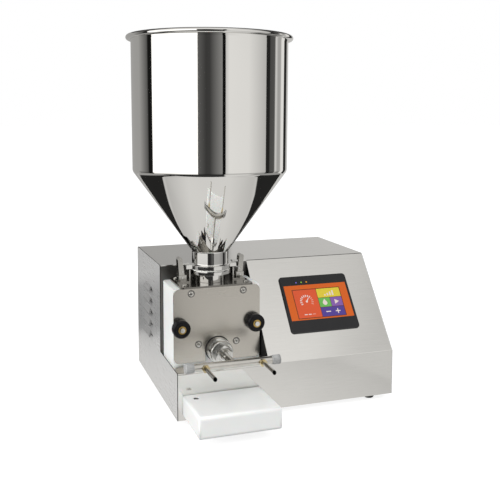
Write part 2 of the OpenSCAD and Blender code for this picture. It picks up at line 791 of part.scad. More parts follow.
module latch_lever(side) color("silver") in_frame() on_side(side) difference() {
    union() {
        for (sy = [-1, 1]) translate([0, sy * (lever_w - strap_t) / 2, 0]) along_y(strap_t) lever_outline();
        translate([pivot_u, 0, pivot_z]) rotate([90, 0, 0]) translate([0, 0, -lever_w / 2])
            cylinder(r = lever_r, h = lever_w);
        translate([lever_grip_u, 0, pivot_z + lever_h - lever_grip_r]) rotate([90, 0, 0])
            translate([0, 0, -lever_w / 2]) cylinder(r = lever_grip_r, h = lever_w);
    }
    translate([pivot_u, 0, pivot_z]) rotate([90, 0, 0]) translate([0, 0, -lever_w])
        cylinder(r = pivot_r + run_gap, h = 2 * lever_w);
    translate([hook_pin_u, 0, hook_pin_z]) rotate([90, 0, 0]) translate([0, 0, -lever_w])
        cylinder(r = hook_pin_r + run_gap, h = 2 * lever_w);
}

module latch_hook(side) color("silver") in_frame() on_side(side) {
    hook_top = hook_z + hook_t;
    along_y(hook_w) {
        translate([hook_pin_u, hook_pin_z]) circle(hook_t);
        translate([hook_pin_u - hook_t / 2, hook_pin_z]) square([hook_t, hook_top - hook_pin_z]);
        translate([hook_tip_u, hook_z]) square([hook_pin_u + hook_t / 2 - hook_tip_u, hook_t]);
    }
    translate([hook_pin_u, 0, hook_pin_z]) rotate([90, 0, 0]) translate([0, 0, -lever_w / 2])
        cylinder(r = hook_pin_r, h = lever_w);
}

module latch_pivot_pins() color("gray") in_frame() {
    for (side = [-1, 1]) on_side(side) translate([pivot_u, base_w / 2 + move_gap, pivot_z])
        rotate([90, 0, 0]) cylinder(r = pivot_r, h = base_w + 2 * move_gap);
}

module latch_base_left() latch_base(-1);
module latch_base_right() latch_base(1);
module latch_lever_left() latch_lever(-1);
module latch_lever_right() latch_lever(1);
module latch_hook_left() latch_hook(-1);
module latch_hook_right() latch_hook(1);

// Outlet and manifold
gallery_r = 2.7;
spigot_r = 9;
spigot_len = 14;
union_lip = 4;
union_face_y = block_y - union_len;
nut_y = union_face_y - move_gap;
spigot_y = union_face_y + spigot_len - move_gap;
union_step = 2;

module outlet_union() color("silver") in_frame() forward(pump_x, block_y, outlet_axis_z) difference() {
    union() {
        translate([0, 0, -union_thread_len]) cylinder(r = union_thread_r, h = union_thread_len + over);
        rotate_extrude() polygon([[0, 0], [union_r, 0], [union_r, union_len / 2],
            [union_r - union_step, union_len / 2], [union_r - union_step, union_len - union_lip],
            [union_r - union_step / 2, union_len - union_lip],
            [union_r - union_step / 2, union_len - union_step],
            [union_r - union_step, union_len], [0, union_len]]);
    }
    translate([0, 0, -union_thread_len - over]) cylinder(r = gallery_r, h = union_len + union_thread_len);
    translate([0, 0, union_len - spigot_len]) cylinder(r = spigot_r + run_gap, h = spigot_len + over);
}

module outlet_nut() color("silver") in_frame() forward(pump_x, nut_y, outlet_axis_z) difference() {
    union() {
        cylinder(r = nut_af / 2 / cos(30), h = nut_len, $fn = 6);
        cylinder(r = nut_af / 2 + nut_flange, h = nut_flange);
    }
    translate([0, 0, -over]) cylinder(r = pipe_r + run_gap, h = nut_len + 2 * over);
}
nut_flange = 2;

cap_end = 3;
tube_half = manifold_w / 2 - cap_end - move_gap;
boss_r = 3.4;

module manifold() color("silver") in_frame() {
    difference() {
        union() {
            translate([pump_x - tube_half, -manifold_y, outlet_axis_z]) rotate([0, 90, 0])
                cylinder(r = manifold_r, h = 2 * tube_half);
            forward(pump_x, spigot_y, outlet_axis_z) cylinder(r = pipe_r, h = spigot_y + manifold_y);
            forward(pump_x, spigot_y, outlet_axis_z) cylinder(r = spigot_r, h = spigot_len - 2 * move_gap);
            for (sx = [-1, 1]) forward(pump_x + sx * needle_half_gap, -manifold_y, outlet_axis_z)
                cylinder(r = boss_r, h = manifold_r + needle_nut_len / 2);
        }
        translate([pump_x - tube_half - over, -manifold_y, outlet_axis_z]) rotate([0, 90, 0])
            cylinder(r = gallery_r, h = 2 * (tube_half + over));
        forward(pump_x, block_y, outlet_axis_z) cylinder(r = gallery_r, h = block_y + manifold_y);
        for (sx = [-1, 1]) forward(pump_x + sx * needle_half_gap, -manifold_y, outlet_axis_z)
            cylinder(r = needle_bore, h = manifold_y);
    }
}

module manifold_cap(side) color("lightgray") in_frame()
    translate([pump_x + side * manifold_w / 2, -manifold_y, outlet_axis_z]) rotate([0, -side * 90, 0])
        difference() {
            union() {
                translate([0, 0, cap_step]) linear_extrude(cap_len - cap_end) polygon(cap_outline);
                cylinder(r = cap_r - cap_step, h = cap_len);
            }
            translate([0, 0, cap_end]) cylinder(r = manifold_r + run_gap, h = cap_len);
        }
cap_step = 0.6;
rib_step = 0.5;
rib_shares = [[0, 1], [0.45, 1], [0.6, 0], [0.85, 0]];
cap_outline = [for (i = [0:cap_ribs - 1], p = rib_shares)
    let (a = (i + p[0]) * 360 / cap_ribs, r = cap_r - (1 - p[1]) * rib_step) r * [cos(a), sin(a)]];
module manifold_cap_left() manifold_cap(-1);
module manifold_cap_right() manifold_cap(1);

needle_bore = 2;
needle_seat = 3;
bevel_angle = 30;

module needle_nut(side) color("goldenrod") in_frame()
    forward(pump_x + side * needle_half_gap, needle_nut_y, outlet_axis_z) difference() {
        union() {
            cylinder(r = needle_nut_af / 2 / cos(30), h = needle_nut_len - needle_seat, $fn = 6);
            cylinder(r = needle_nut_af / 2 - nut_shoulder, h = needle_nut_len);
        }
        translate([0, 0, -over]) cylinder(r = boss_r + run_gap, h = needle_nut_len / 2 + over + move_gap);
        translate([0, 0, -over]) cylinder(r = needle_r, h = needle_nut_len + 2 * over);
    }
nut_shoulder = 1.2;

module needle(side) color("silver") in_frame()
    forward(pump_x + side * needle_half_gap, needle_nut_y - needle_nut_len + needle_seat, outlet_axis_z)
        difference() {
            cylinder(r = needle_r, h = needle_len + needle_seat);
            translate([0, 0, -over]) cylinder(r = needle_bore, h = needle_len + needle_seat + 2 * over);
            translate([0, -needle_r, needle_len + needle_seat]) rotate([-bevel_angle, 0, 0])
                translate([-needle_len / 2, 0, 0]) cube([needle_len, needle_len, needle_len]);
        }
module needle_nut_left() needle_nut(-1);
module needle_nut_right() needle_nut(1);
module needle_left() needle(-1);
module needle_right() needle(1);

// Rest block below the needles
tongue_w = 60;
tongue_t = 6;
tongue_len = 50;
tongue_drop = 20;
tongue_z = rest_top - tongue_drop;
rest_screw_inset = 17;
rest_screw_x = rest_x + rest_screw_inset;
rest_screw_y = -21.5;
rest_screw_r = 2.5;
rest_screw_sunk = 2;

module rest_block() color(white_plastic) in_frame() difference() {
    translate([rest_x + rest_w / 2, -rest_d / 2, rest_top - rest_h / 2]) intersection() {
        translate([0, 0, -rest_h / 2]) linear_extrude(rest_h) round_rect(rest_w, rest_d, rest_edge);
        rotate([90, 0, 0]) translate([0, 0, -rest_d / 2]) linear_extrude(rest_d)
            round_rect(rest_w, rest_h, rest_edge);
        rotate([90, 0, 90]) translate([0, 0, -rest_w / 2]) linear_extrude(rest_w)
            round_rect(rest_d, rest_h, rest_edge);
    }
    translate([rest_x, 0, tongue_z]) tongue_shape(over, 0);
    translate([rest_screw_x, rest_screw_y, tongue_z]) cylinder(r = rest_screw_r, h = rest_top);
    translate([rest_screw_x, rest_screw_y, rest_top - rest_screw_sunk])
        cylinder(r = face_screw_head_r, h = rest_top);
}

// The bracket's tongue, from its root inside the front panel to its tip inside the block
module tongue_shape(extra, root) {
    translate([rest_screw_x - rest_x - tongue_len / 4, -tongue_len, 0])
        cube([tongue_w, tongue_len + extra + root, tongue_t]);
}

module rest_block_screw() color("gray") in_frame()
    translate([rest_screw_x, rest_screw_y, rest_top - rest_screw_sunk])
        socket_screw(rest_screw_r, rest_top - rest_screw_sunk - tongue_z - tongue_t, face_screw_head_r,
            rest_screw_sunk, face_screw_key_r);

module rest_bracket() color(steel) in_frame() translate([rest_x, 0, tongue_z]) tongue_shape(0, 0);

// Drive behind the pump bay
coupling_gap = 2;
coupling_y = slope_run + sheet + coupling_gap;
bracket_t = 4;
bracket_y = coupling_y + coupling_len + coupling_gap;
gearbox_y = bracket_y + bracket_t;
shaft_end_y = gearbox_y + gearbox_len / 3;
motor_y = gearbox_y + gearbox_len;
motor_len = body_d - sheet - motor_gap - motor_y;
bracket_foot = 40;

module shaft_coupling() color("gray") in_frame()
    forward(drive_x, coupling_y + coupling_len, gear_axis_z) ring(coupling_r, shaft_r, coupling_len);

module gearbox() color("dimgray") in_frame() difference() {
    translate([drive_x, motor_y, gear_axis_z]) rotate([90, 0, 0])
        linear_extrude(gearbox_len) round_rect(gearbox_w, gearbox_w, gearbox_corner);
    forward(drive_x, shaft_end_y + move_gap, gear_axis_z)
        cylinder(r = shaft_r + run_gap, h = gearbox_len);
}
gearbox_corner = 8;

module drive_motor() color("darkslategray") in_frame()
    translate([drive_x, motor_y, gear_axis_z]) rotate([-90, 0, 0]) {
        cylinder(r = motor_r, h = motor_len - motor_cap);
        cylinder(r = motor_r * motor_cap_share, h = motor_len);
    }
motor_cap = 6;
motor_cap_share = 0.8;

module motor_bracket() color("gray") in_frame() difference() {
    union() {
        translate([drive_x - gearbox_w / 2, bracket_y, sheet])
            cube([gearbox_w, bracket_t, gear_axis_z + gearbox_w / 2 - sheet]);
        translate([drive_x - gearbox_w / 2, bracket_y, sheet]) cube([gearbox_w, bracket_foot, bracket_t]);
    }
    forward(drive_x, gearbox_y + over, gear_axis_z) cylinder(r = coupling_r, h = bracket_t + 2 * over);
}

// Back: inlet with its switch
inlet_body_w = 24;
inlet_body_h = 50;
inlet_body_d = 26;
plug_hole = [20, 14, 16];
plug_drop = 10;
rocker_rise = 13;
rocker_r = 8;
rocker_w = 12;
rocker_sunk = 3.5;
rocker_face = 1.6;
rocker_tilt = 8;
pin_size = [2, 4, 10];
pin_gap = 7;

module power_inlet() color("black") in_frame() translate([body_w - inlet_x, body_d, inlet_z]) difference() {
    union() {
        rotate([90, 0, 0]) translate([0, 0, -inlet_proud])
            linear_extrude(inlet_proud) round_rect(inlet_w, inlet_h, inlet_proud);
        translate([-inlet_body_w / 2, -inlet_body_d, -inlet_body_h / 2])
            cube([inlet_body_w, inlet_body_d + over, inlet_body_h]);
    }
    difference() {
        translate([-plug_hole[0] / 2, inlet_proud - plug_hole[2], -plug_drop - plug_hole[1] / 2])
            cube([plug_hole[0], plug_hole[2] + over, plug_hole[1]]);
        for (i = [-1:1]) translate([i * pin_gap - pin_size[0] / 2, inlet_proud - plug_hole[2],
            -plug_drop - pin_size[1] / 2]) cube([pin_size[0], pin_size[2], pin_size[1]]);
    }
    translate([-rocker_w / 2 - move_gap, inlet_proud - 2 * rocker_r, rocker_rise - rocker_r - move_gap])
        cube([rocker_w + 2 * move_gap, 2 * rocker_r + over, 2 * (rocker_r + move_gap)]);
}

module power_switch() color("black") in_frame()
    translate([body_w - inlet_x, body_d + inlet_proud - rocker_sunk, inlet_z + rocker_rise])
        rotate([rocker_tilt, 0, 0]) intersection() {
            translate([-rocker_w / 2, 0, 0]) rotate([0, 90, 0]) cylinder(r = rocker_r, h = rocker_w);
            along_x(-rocker_w / 2, rocker_w / 2) polygon([[-rocker_r, -rocker_r],
                [rocker_face, -rocker_r], [rocker_face - rocker_dish, 0],
                [rocker_face, rocker_r], [-rocker_r, rocker_r]]);
        }
rocker_dish = 1;

// Electronics on the base
board_size = [130, 90, 1.6];
board_side_gap = 43.5;
board_front_gap = 28.5;
board_x = body_w - sheet - board_side_gap - board_size[0];
board_y = sheet + board_front_gap;
post_h = 8;
post_r = 3;
supply_size = [150, 85, 42];
supply_side_gap = 23.5;
supply_back_gap = 20;
supply_x = body_w - sheet - supply_side_gap - supply_size[0];
supply_y = body_d - inlet_body_d - supply_back_gap - supply_size[1];

module control_board() color("darkgreen") in_frame() translate([board_x, board_y, sheet]) {
    translate([0, 0, post_h]) cube(board_size);
    for (x = [2 * post_r, board_size[0] - 2 * post_r], y = [2 * post_r, board_size[1] - 2 * post_r])
        translate([x, y, 0]) cylinder(r = post_r, h = post_h);
    for (i = [0:2]) translate([post_h + i * (plug_w + over), board_size[1] - 2 * plug_h, post_h])
        cube([plug_w - post_h, plug_h, plug_h]);
}

module power_supply() color("lightgray") in_frame()
    translate([supply_x, supply_y, sheet]) cube(supply_size);

base_pan();
rubber_feet();
left_side_panel();
right_side_panel();
console_cover();
recess_wall();
back_panel();
panel_screws();
touch_bezel();
touch_screen();
touch_housing();
pump_block();
pump_face_plate();
face_plate_screws();
drive_gear();
idler_gear();
drive_shaft();
idler_pin();
shaft_bush();
shaft_seal();
shaft_coupling();
gearbox();
drive_motor();
motor_bracket();
knob_studs();
knob_left();
knob_right();
knob_insert_left();
knob_insert_right();
top_plate();
top_plate_screws();
inlet_socket();
hopper_seal();
hopper();
latch_base_left();
latch_base_right();
latch_lever_left();
latch_lever_right();
latch_hook_left();
latch_hook_right();
latch_pivot_pins();
outlet_union();
outlet_nut();
manifold();
manifold_cap_left();
manifold_cap_right();
needle_nut_left();
needle_nut_right();
needle_left();
needle_right();
rest_block();
rest_block_screw();
rest_bracket();
power_inlet();
power_switch();
control_board();
power_supply();
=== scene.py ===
"""Dresses a table-top cake filling machine: steel casing, touch panel, pump, hopper, latches and stage."""

import json
import math

import bmesh
import bpy
from mathutils import Matrix, Vector

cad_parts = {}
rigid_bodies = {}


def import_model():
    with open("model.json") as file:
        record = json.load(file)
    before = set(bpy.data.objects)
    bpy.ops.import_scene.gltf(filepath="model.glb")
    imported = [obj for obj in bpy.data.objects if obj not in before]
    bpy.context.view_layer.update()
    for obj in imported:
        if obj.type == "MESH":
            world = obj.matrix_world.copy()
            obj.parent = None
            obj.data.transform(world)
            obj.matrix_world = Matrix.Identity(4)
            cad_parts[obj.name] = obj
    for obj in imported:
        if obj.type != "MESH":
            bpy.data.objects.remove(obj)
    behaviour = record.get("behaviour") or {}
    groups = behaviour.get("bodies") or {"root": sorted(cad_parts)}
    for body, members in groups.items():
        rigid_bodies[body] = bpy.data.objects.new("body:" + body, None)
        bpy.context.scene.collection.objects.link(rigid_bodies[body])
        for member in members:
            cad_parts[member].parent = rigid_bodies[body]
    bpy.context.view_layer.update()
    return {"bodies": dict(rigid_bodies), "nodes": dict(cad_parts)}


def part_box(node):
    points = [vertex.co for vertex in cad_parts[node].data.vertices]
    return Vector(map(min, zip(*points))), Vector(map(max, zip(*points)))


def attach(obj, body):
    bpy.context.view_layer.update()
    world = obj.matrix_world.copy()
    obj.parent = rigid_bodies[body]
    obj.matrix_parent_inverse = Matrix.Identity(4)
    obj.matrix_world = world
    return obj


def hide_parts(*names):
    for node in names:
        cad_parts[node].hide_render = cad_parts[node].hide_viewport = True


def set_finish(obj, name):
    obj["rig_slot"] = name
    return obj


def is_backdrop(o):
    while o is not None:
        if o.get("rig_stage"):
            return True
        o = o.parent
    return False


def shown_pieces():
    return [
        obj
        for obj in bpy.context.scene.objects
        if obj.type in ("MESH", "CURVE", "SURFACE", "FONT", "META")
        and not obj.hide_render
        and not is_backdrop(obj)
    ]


bl_info = {
    "name": "Cake filling machine",
    "version": (1, 0, 0),
    "blender": (4, 5, 0),
    "location": "View3D > Sidebar > Filler",
    "description": "Builds the visible pieces of a cake filling machine over its packed frame",
    "category": "Object",
}

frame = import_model()
NODES = frame["nodes"]
BODY_OF = {node: body for node, obj in NODES.items()
           for body, empty in frame["bodies"].items() if obj.parent is empty}
SLOT_OF = {node: obj.data.materials[0].name for node, obj in NODES.items()}
SIDES = ("left", "right")


def middle(node):
    """Middle of a node's box."""
    low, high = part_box(node)
    return (low + high) / 2


def half_width(node):
    """Half the width of a node's box."""
    low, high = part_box(node)
    return (high.x - low.x) / 2


# Settings


def length(name, text, default):
    return bpy.props.FloatProperty(name=name, description=text, default=default, min=0, precision=5,
                                   subtype="DISTANCE", unit="LENGTH")


def colour(name, text, default):
    return bpy.props.FloatVectorProperty(name=name, description=text, default=default, size=3, min=0, max=1,
                                         subtype="COLOR")


def share(name, text, default, high=1):
    return bpy.props.FloatProperty(name=name, description=text, default=default, min=0, max=high,
                                   subtype="FACTOR")


def angle(name, text, degrees):
    return bpy.props.FloatProperty(name=name, description=text, default=math.radians(degrees),
                                   subtype="ANGLE", unit="ROTATION")


class CasingSettings(bpy.types.PropertyGroup):
    steel: colour("Steel", "Colour of the casing's steel sheet", (0.8, 0.795, 0.775))
    side_steel: colour("Side steel", "Colour of the satin steel on the sides", (0.6, 0.6, 0.595))
    # The inner-face colour is painted shade: near-black for faces in shadow inside the casing and the
    # needles.
    inside: colour("Inside", "Colour of the dull inner face of the side sheet", (0.02, 0.02, 0.019))
    # The bay wall's dark tone is painted shade.
    bay: colour("Bay", "Colour of the shaded steel wall behind the pump", (0.17, 0.166, 0.158))
    grain: length("Grain", "Width of one line of the brushed grain", 0.00025)
    edge: length("Edge", "Radius of a cut edge of the sheet", 0.0003)
    gloss: share("Roughness", "Roughness of the front, slope and top", 0.12)
    side_gloss: share("Side roughness", "Roughness of the sides", 0.3)
    side_mirror: share("Side mirror", "Share of the light that the satin sides mirror", 0.55)


class PanelSettings(bpy.types.PropertyGroup):
    bezel: colour("Bezel", "Colour of the bezel", (0.015, 0.015, 0.016))
    ground: colour("Ground", "Ground colour of the display", (0.72, 0.13, 0.014))
    field: colour("Field", "Colour behind the tiles", (0.13, 0.035, 0.012))
    main_tile: colour("Main tile", "Colour of the large tile", (0.75, 0.105, 0.035))
    glow: share("Glow", "Light that the display gives", 0.45)
    chamfer: length("Chamfer", "Chamfer of the bezel's front edge", 0.0014)
    led: length("Status lamp", "Radius of a status lamp", 0.0011)


class PumpSettings(bpy.types.PropertyGroup):
    plastic: colour("Plastic", "Colour of the white blocks", (0.77, 0.78, 0.77))
    plate: colour("Plate steel", "Colour of the face plate", (0.6, 0.575, 0.525))
    # The top plate's dark steel is painted shade for its shaded front face.
    edge_steel: colour("Top plate steel", "Colour of the top plate", (0.24, 0.23, 0.21))
    edge: length("Edge", "Radius of the blocks' machined edges", 0.0008)
    knob: colour("Knob", "Colour of the knobs", (0.004, 0.004, 0.005))
    knob_share: share("Knob width", "Width of a knob, as a share of its solid's", 1.04, 2)
    # The dark rings under the face screws are painted shade round each screw head.
    washer: length("Washer", "Thickness of the washers under the screws", 0.0009)
    insert: colour("Insert", "Colour of the knobs' brass inserts", (0.55, 0.38, 0.13))
    brass: colour("Brass", "Colour of the brass", (0.78, 0.67, 0.43))


class HopperSettings(bpy.types.PropertyGroup):
    steel: colour("Steel", "Colour of the polished steel", (0.8, 0.795, 0.775))
    gloss: share("Roughness", "Roughness of the polished steel", 0.035)
    segments: bpy.props.IntProperty(name="Segments", description="Steps round the hopper", default=240, min=8)
    bead: length("Bead", "Radius of the rolled rim", 0.004)
    wall: length("Wall", "Thickness of the hopper's sheet", 0.0012)
    wall_r: length("Wall radius", "Radius of the wall below the rim", 0.1275)
    wall_h: length("Wall height", "Height of the wall from the seam to the middle of the rim", 0.214)
    seam_r: length("Seam radius", "Radius of the seam between wall and cone", 0.1265)
    seam: length("Seam rounding", "Rounding of the ground seam", 0.012)
    neck_r: length("Neck radius", "Radius of the neck", 0.0305)
    neck_h: length("Neck height", "Height of the neck above the flange", 0.022)
    flange_t: length("Flange", "Thickness of the flange", 0.007)
    ear_w: length("Ear", "Width of a flange ear", 0.014)
    neck_fillet: length("Neck fillet", "Radius between neck and flange", 0.0025)


class OutletSettings(bpy.types.PropertyGroup):
    tube: colour("Tube", "Colour of the manifold and the needles", (0.62, 0.605, 0.57))
    cap: colour("Cap", "Colour of the end caps", (0.58, 0.585, 0.58))
    needle_share: share("Needle width", "Width of a needle, as a share of its solid's", 1.18, 2)


class StageSettings(bpy.types.PropertyGroup):
    lens: bpy.props.FloatProperty(name="Lens", description="Focal length in millimetres", default=54.68,
                                  min=10)
    place: bpy.props.FloatVectorProperty(name="Camera", description="Place of the camera", size=3,
                                         default=(-0.43405, -1.2288, 0.4877), subtype="XYZ", unit="LENGTH")
    yaw: angle("Yaw", "Turn of the camera to the right of +Y", 19.28)
    pitch: angle("Pitch", "Tilt of the camera below the horizon", 5.26)
    roll: angle("Roll", "Roll of the camera", 0.16)
    shift: bpy.props.FloatProperty(name="Shift", description="Upward shift of the view", default=-0.13)
    table: length("Table", "Width of the pale table that the steel mirrors", 0.77)
    ring: length("Ring", "Radius of the mirrored ring of cards", 1.25)
    ring_height: length("Ring height", "Height of the mirrored ring of cards", 1.1)
    ceiling: length("Ceiling", "Height of the card above", 2.2)
    daylight: share("Daylight", "Light from all round", 0.62)
    lamp_power: bpy.props.FloatProperty(name="Lamp", description="Power of the main lamp", default=34, min=0,
                                        unit="POWER")


GROUPS = {"filler_casing": CasingSettings, "filler_panel": PanelSettings, "filler_pump": PumpSettings,
          "filler_hopper": HopperSettings, "filler_outlet": OutletSettings, "filler_stage": StageSettings}


# Finishes


class Nodes:
    """Makes nodes in a tree, and sets or links their inputs."""

    def __init__(self, tree):
        self.tree = tree

    def fill(self, node, **inputs):
        """Inputs are named, or numbered as in0, in1. A socket is linked and any other value is set."""
        for name, value in inputs.items():
            numbered = name.startswith("in") and name[2:].isdigit()
            socket = node.inputs[int(name[2:]) if numbered else name.replace("_", " ")]
            if isinstance(value, bpy.types.NodeSocket):
                self.tree.links.new(value, socket)
            elif hasattr(value, "__len__") and socket.type == "RGBA" and len(value) == 3:
                socket.default_value = (*value, 1)
            else:
                socket.default_value = value

    def add(self, kind, settings=None, **inputs):
        node = self.tree.nodes.new(kind)
        for name, value in (settings or {}).items():
            setattr(node, name, value)
        self.fill(node, **inputs)
        return node

    def maths(self, operation, a, b):
        return self.add("ShaderNodeMath", {"operation": operation}, in0=a, in1=b).outputs[0]


class Finish(Nodes):
    """A node material around one Principled shader."""

    def __init__(self, name, **inputs):
        self.material = bpy.data.materials.new(name)
        self.material.use_nodes = True
        super().__init__(self.material.node_tree)
        self.shader = self.tree.nodes["Principled BSDF"]
        self.fill(self.shader, **inputs)
        self.place = self.add("ShaderNodeTexCoord").outputs["Object"]

    def noise(self, scale, stretch=(1, 1, 1), detail=3.0, rough=0.55):
        """Noise with that many features to the metre, stretched along the axes."""
        mapping = self.add("ShaderNodeMapping", Vector=self.place, Scale=Vector(stretch) * scale)
        return self.add("ShaderNodeTexNoise", Vector=mapping.outputs[0], Scale=1.0, Detail=detail,
                        Roughness=rough).outputs["Fac"]

    def span(self, fac, low, high):
        """Maps a noise, which lies between about 0.3 and 0.7, to a range."""
        return self.add("ShaderNodeMapRange", Value=fac, in1=0.3, in2=0.7, in3=low, in4=high).outputs[0]

    def shade(self, fac, tone, spread):
        """A colour that varies round a tone by a share."""
        dark = [c * (1 - spread) for c in tone]
        light = [min(1, c * (1 + spread)) for c in tone]
        return self.between(self.span(fac, 0, 1), dark, light)

    def between(self, fac, tone_a, tone_b):
        mix = self.add("ShaderNodeMix", {"data_type": "RGBA"}, in0=fac, in6=tone_a, in7=tone_b)
        return mix.outputs[2]

    def mixed(self, fac_a, fac_b, part):
        return self.add("ShaderNodeMix", in0=part, in2=fac_a, in3=fac_b).outputs[0]

    def bump(self, height, depth):
        node = self.add("ShaderNodeBump", Height=height, Distance=depth)
        self.fill(self.shader, Normal=node.outputs[0])


def brushed_steel(name, tone, roughness, grain, along, depth=0.000012, spread=0.05, mirror=1.0):
    """Steel sheet with fine lines along one axis and faint, wide clouds of handling."""
    finish = Finish(name, Metallic=mirror)
    stretch = [1.0, 1.0, 1.0]
    stretch["XYZ".index(along)] = 0.012
    lines = finish.noise(0.5 / grain, stretch, 2.0)
    clouds = finish.noise(9.0, detail=4.0)
    both = finish.mixed(lines, clouds, 0.4)
    finish.fill(finish.shader, Base_Color=finish.shade(both, tone, spread),
                Roughness=finish.span(both, roughness * 0.8, roughness * 1.2))
    finish.bump(lines, depth)
    return finish.material


def polished_steel(name, tone, roughness, wave=0.00006):
    """Mirror-polished steel: nearly flat, with the slow waves of rolled sheet and hairline marks."""
    finish = Finish(name, Metallic=1.0)
    waves = finish.noise(14.0, (1, 1, 0.35), 1.0)
    marks = finish.noise(900.0, (1, 1, 0.05), 4.0)
    finish.fill(finish.shader, Base_Color=finish.shade(waves, tone, 0.02),
                Roughness=finish.span(marks, roughness * 0.7, roughness * 1.4))
    finish.bump(finish.mixed(waves, marks, 0.02), wave)
    return finish.material


def moulded(name, tone, roughness, grain=1500.0, depth=0.00002, spread=0.06, **inputs):
    """Moulded or turned plastic, rubber or paint with a fine grain and a slow change of tone."""
    finish = Finish(name, **inputs)
    fine = finish.noise(grain, detail=5.0)
    slow = finish.noise(30.0)
    finish.fill(finish.shader, Base_Color=finish.shade(slow, tone, spread),
                Roughness=finish.span(fine, roughness * 0.85, roughness * 1.15))
    finish.bump(fine, depth)
    return finish.material


def turned_metal(name, tone, roughness, grain=2600.0):
    """Turned metal with a fine tool mark."""
    finish = Finish(name, Metallic=1.0)
    marks = finish.noise(grain, (1, 0.3, 1), 3.0)
    slow = finish.noise(60.0)
    finish.fill(finish.shader, Base_Color=finish.shade(slow, tone, 0.06),
                Roughness=finish.span(marks, roughness * 0.75, roughness * 1.3))
    finish.bump(marks, 0.000012)
    return finish.material


def lit(name, tone, glow, gloss=0.12):
    """A lit part of the display, with faint rows of pixels under its glossy cover."""
    finish = Finish(name, Roughness=gloss, Specular_IOR_Level=0.2, Coat_Weight=0.15, Coat_Roughness=0.05,
                    Emission_Strength=glow)
    rows = finish.add("ShaderNodeTexWave", {"bands_direction": "X"}, Vector=finish.place, Scale=900.0)
    slow = finish.noise(25.0)
    mix = finish.mixed(rows.outputs["Fac"], slow, 0.6)
    cover = finish.shade(mix, [c * 0.35 for c in tone], 0.05)
    finish.fill(finish.shader, Base_Color=cover, Emission_Color=finish.shade(mix, tone, 0.05))
    return finish.material


def perforated(name, tone):
    """Zinc sheet with a pattern of round vents, each painted near-black as painted shade for the hole."""
    finish = Finish(name, Metallic=1.0, Roughness=0.4)
    cells = finish.add("ShaderNodeTexVoronoi", {"feature": "F1"}, Vector=finish.place, Scale=160.0,
                       Randomness=0.0)
    sheet = finish.maths("GREATER_THAN", cells.outputs["Distance"], 0.28)
    # The vents are painted near-black as painted shade.
    finish.fill(finish.shader, Base_Color=finish.between(sheet, (0.03, 0.03, 0.03), tone))
    finish.bump(sheet, 0.0004)
    return finish.material


def circuit_green(name, tone):
    """Circuit board lacquer with lighter tracks."""
    finish = Finish(name, Roughness=0.35, Coat_Weight=0.4)
    bricks = finish.add("ShaderNodeTexBrick", Vector=finish.place, Scale=140.0, Color1=tone,
                        Color2=[c * 1.4 for c in tone], Mortar=[c * 2 for c in tone])
    finish.fill(finish.shader, Base_Color=bricks.outputs["Color"])
    return finish.material


FINISHES = {}


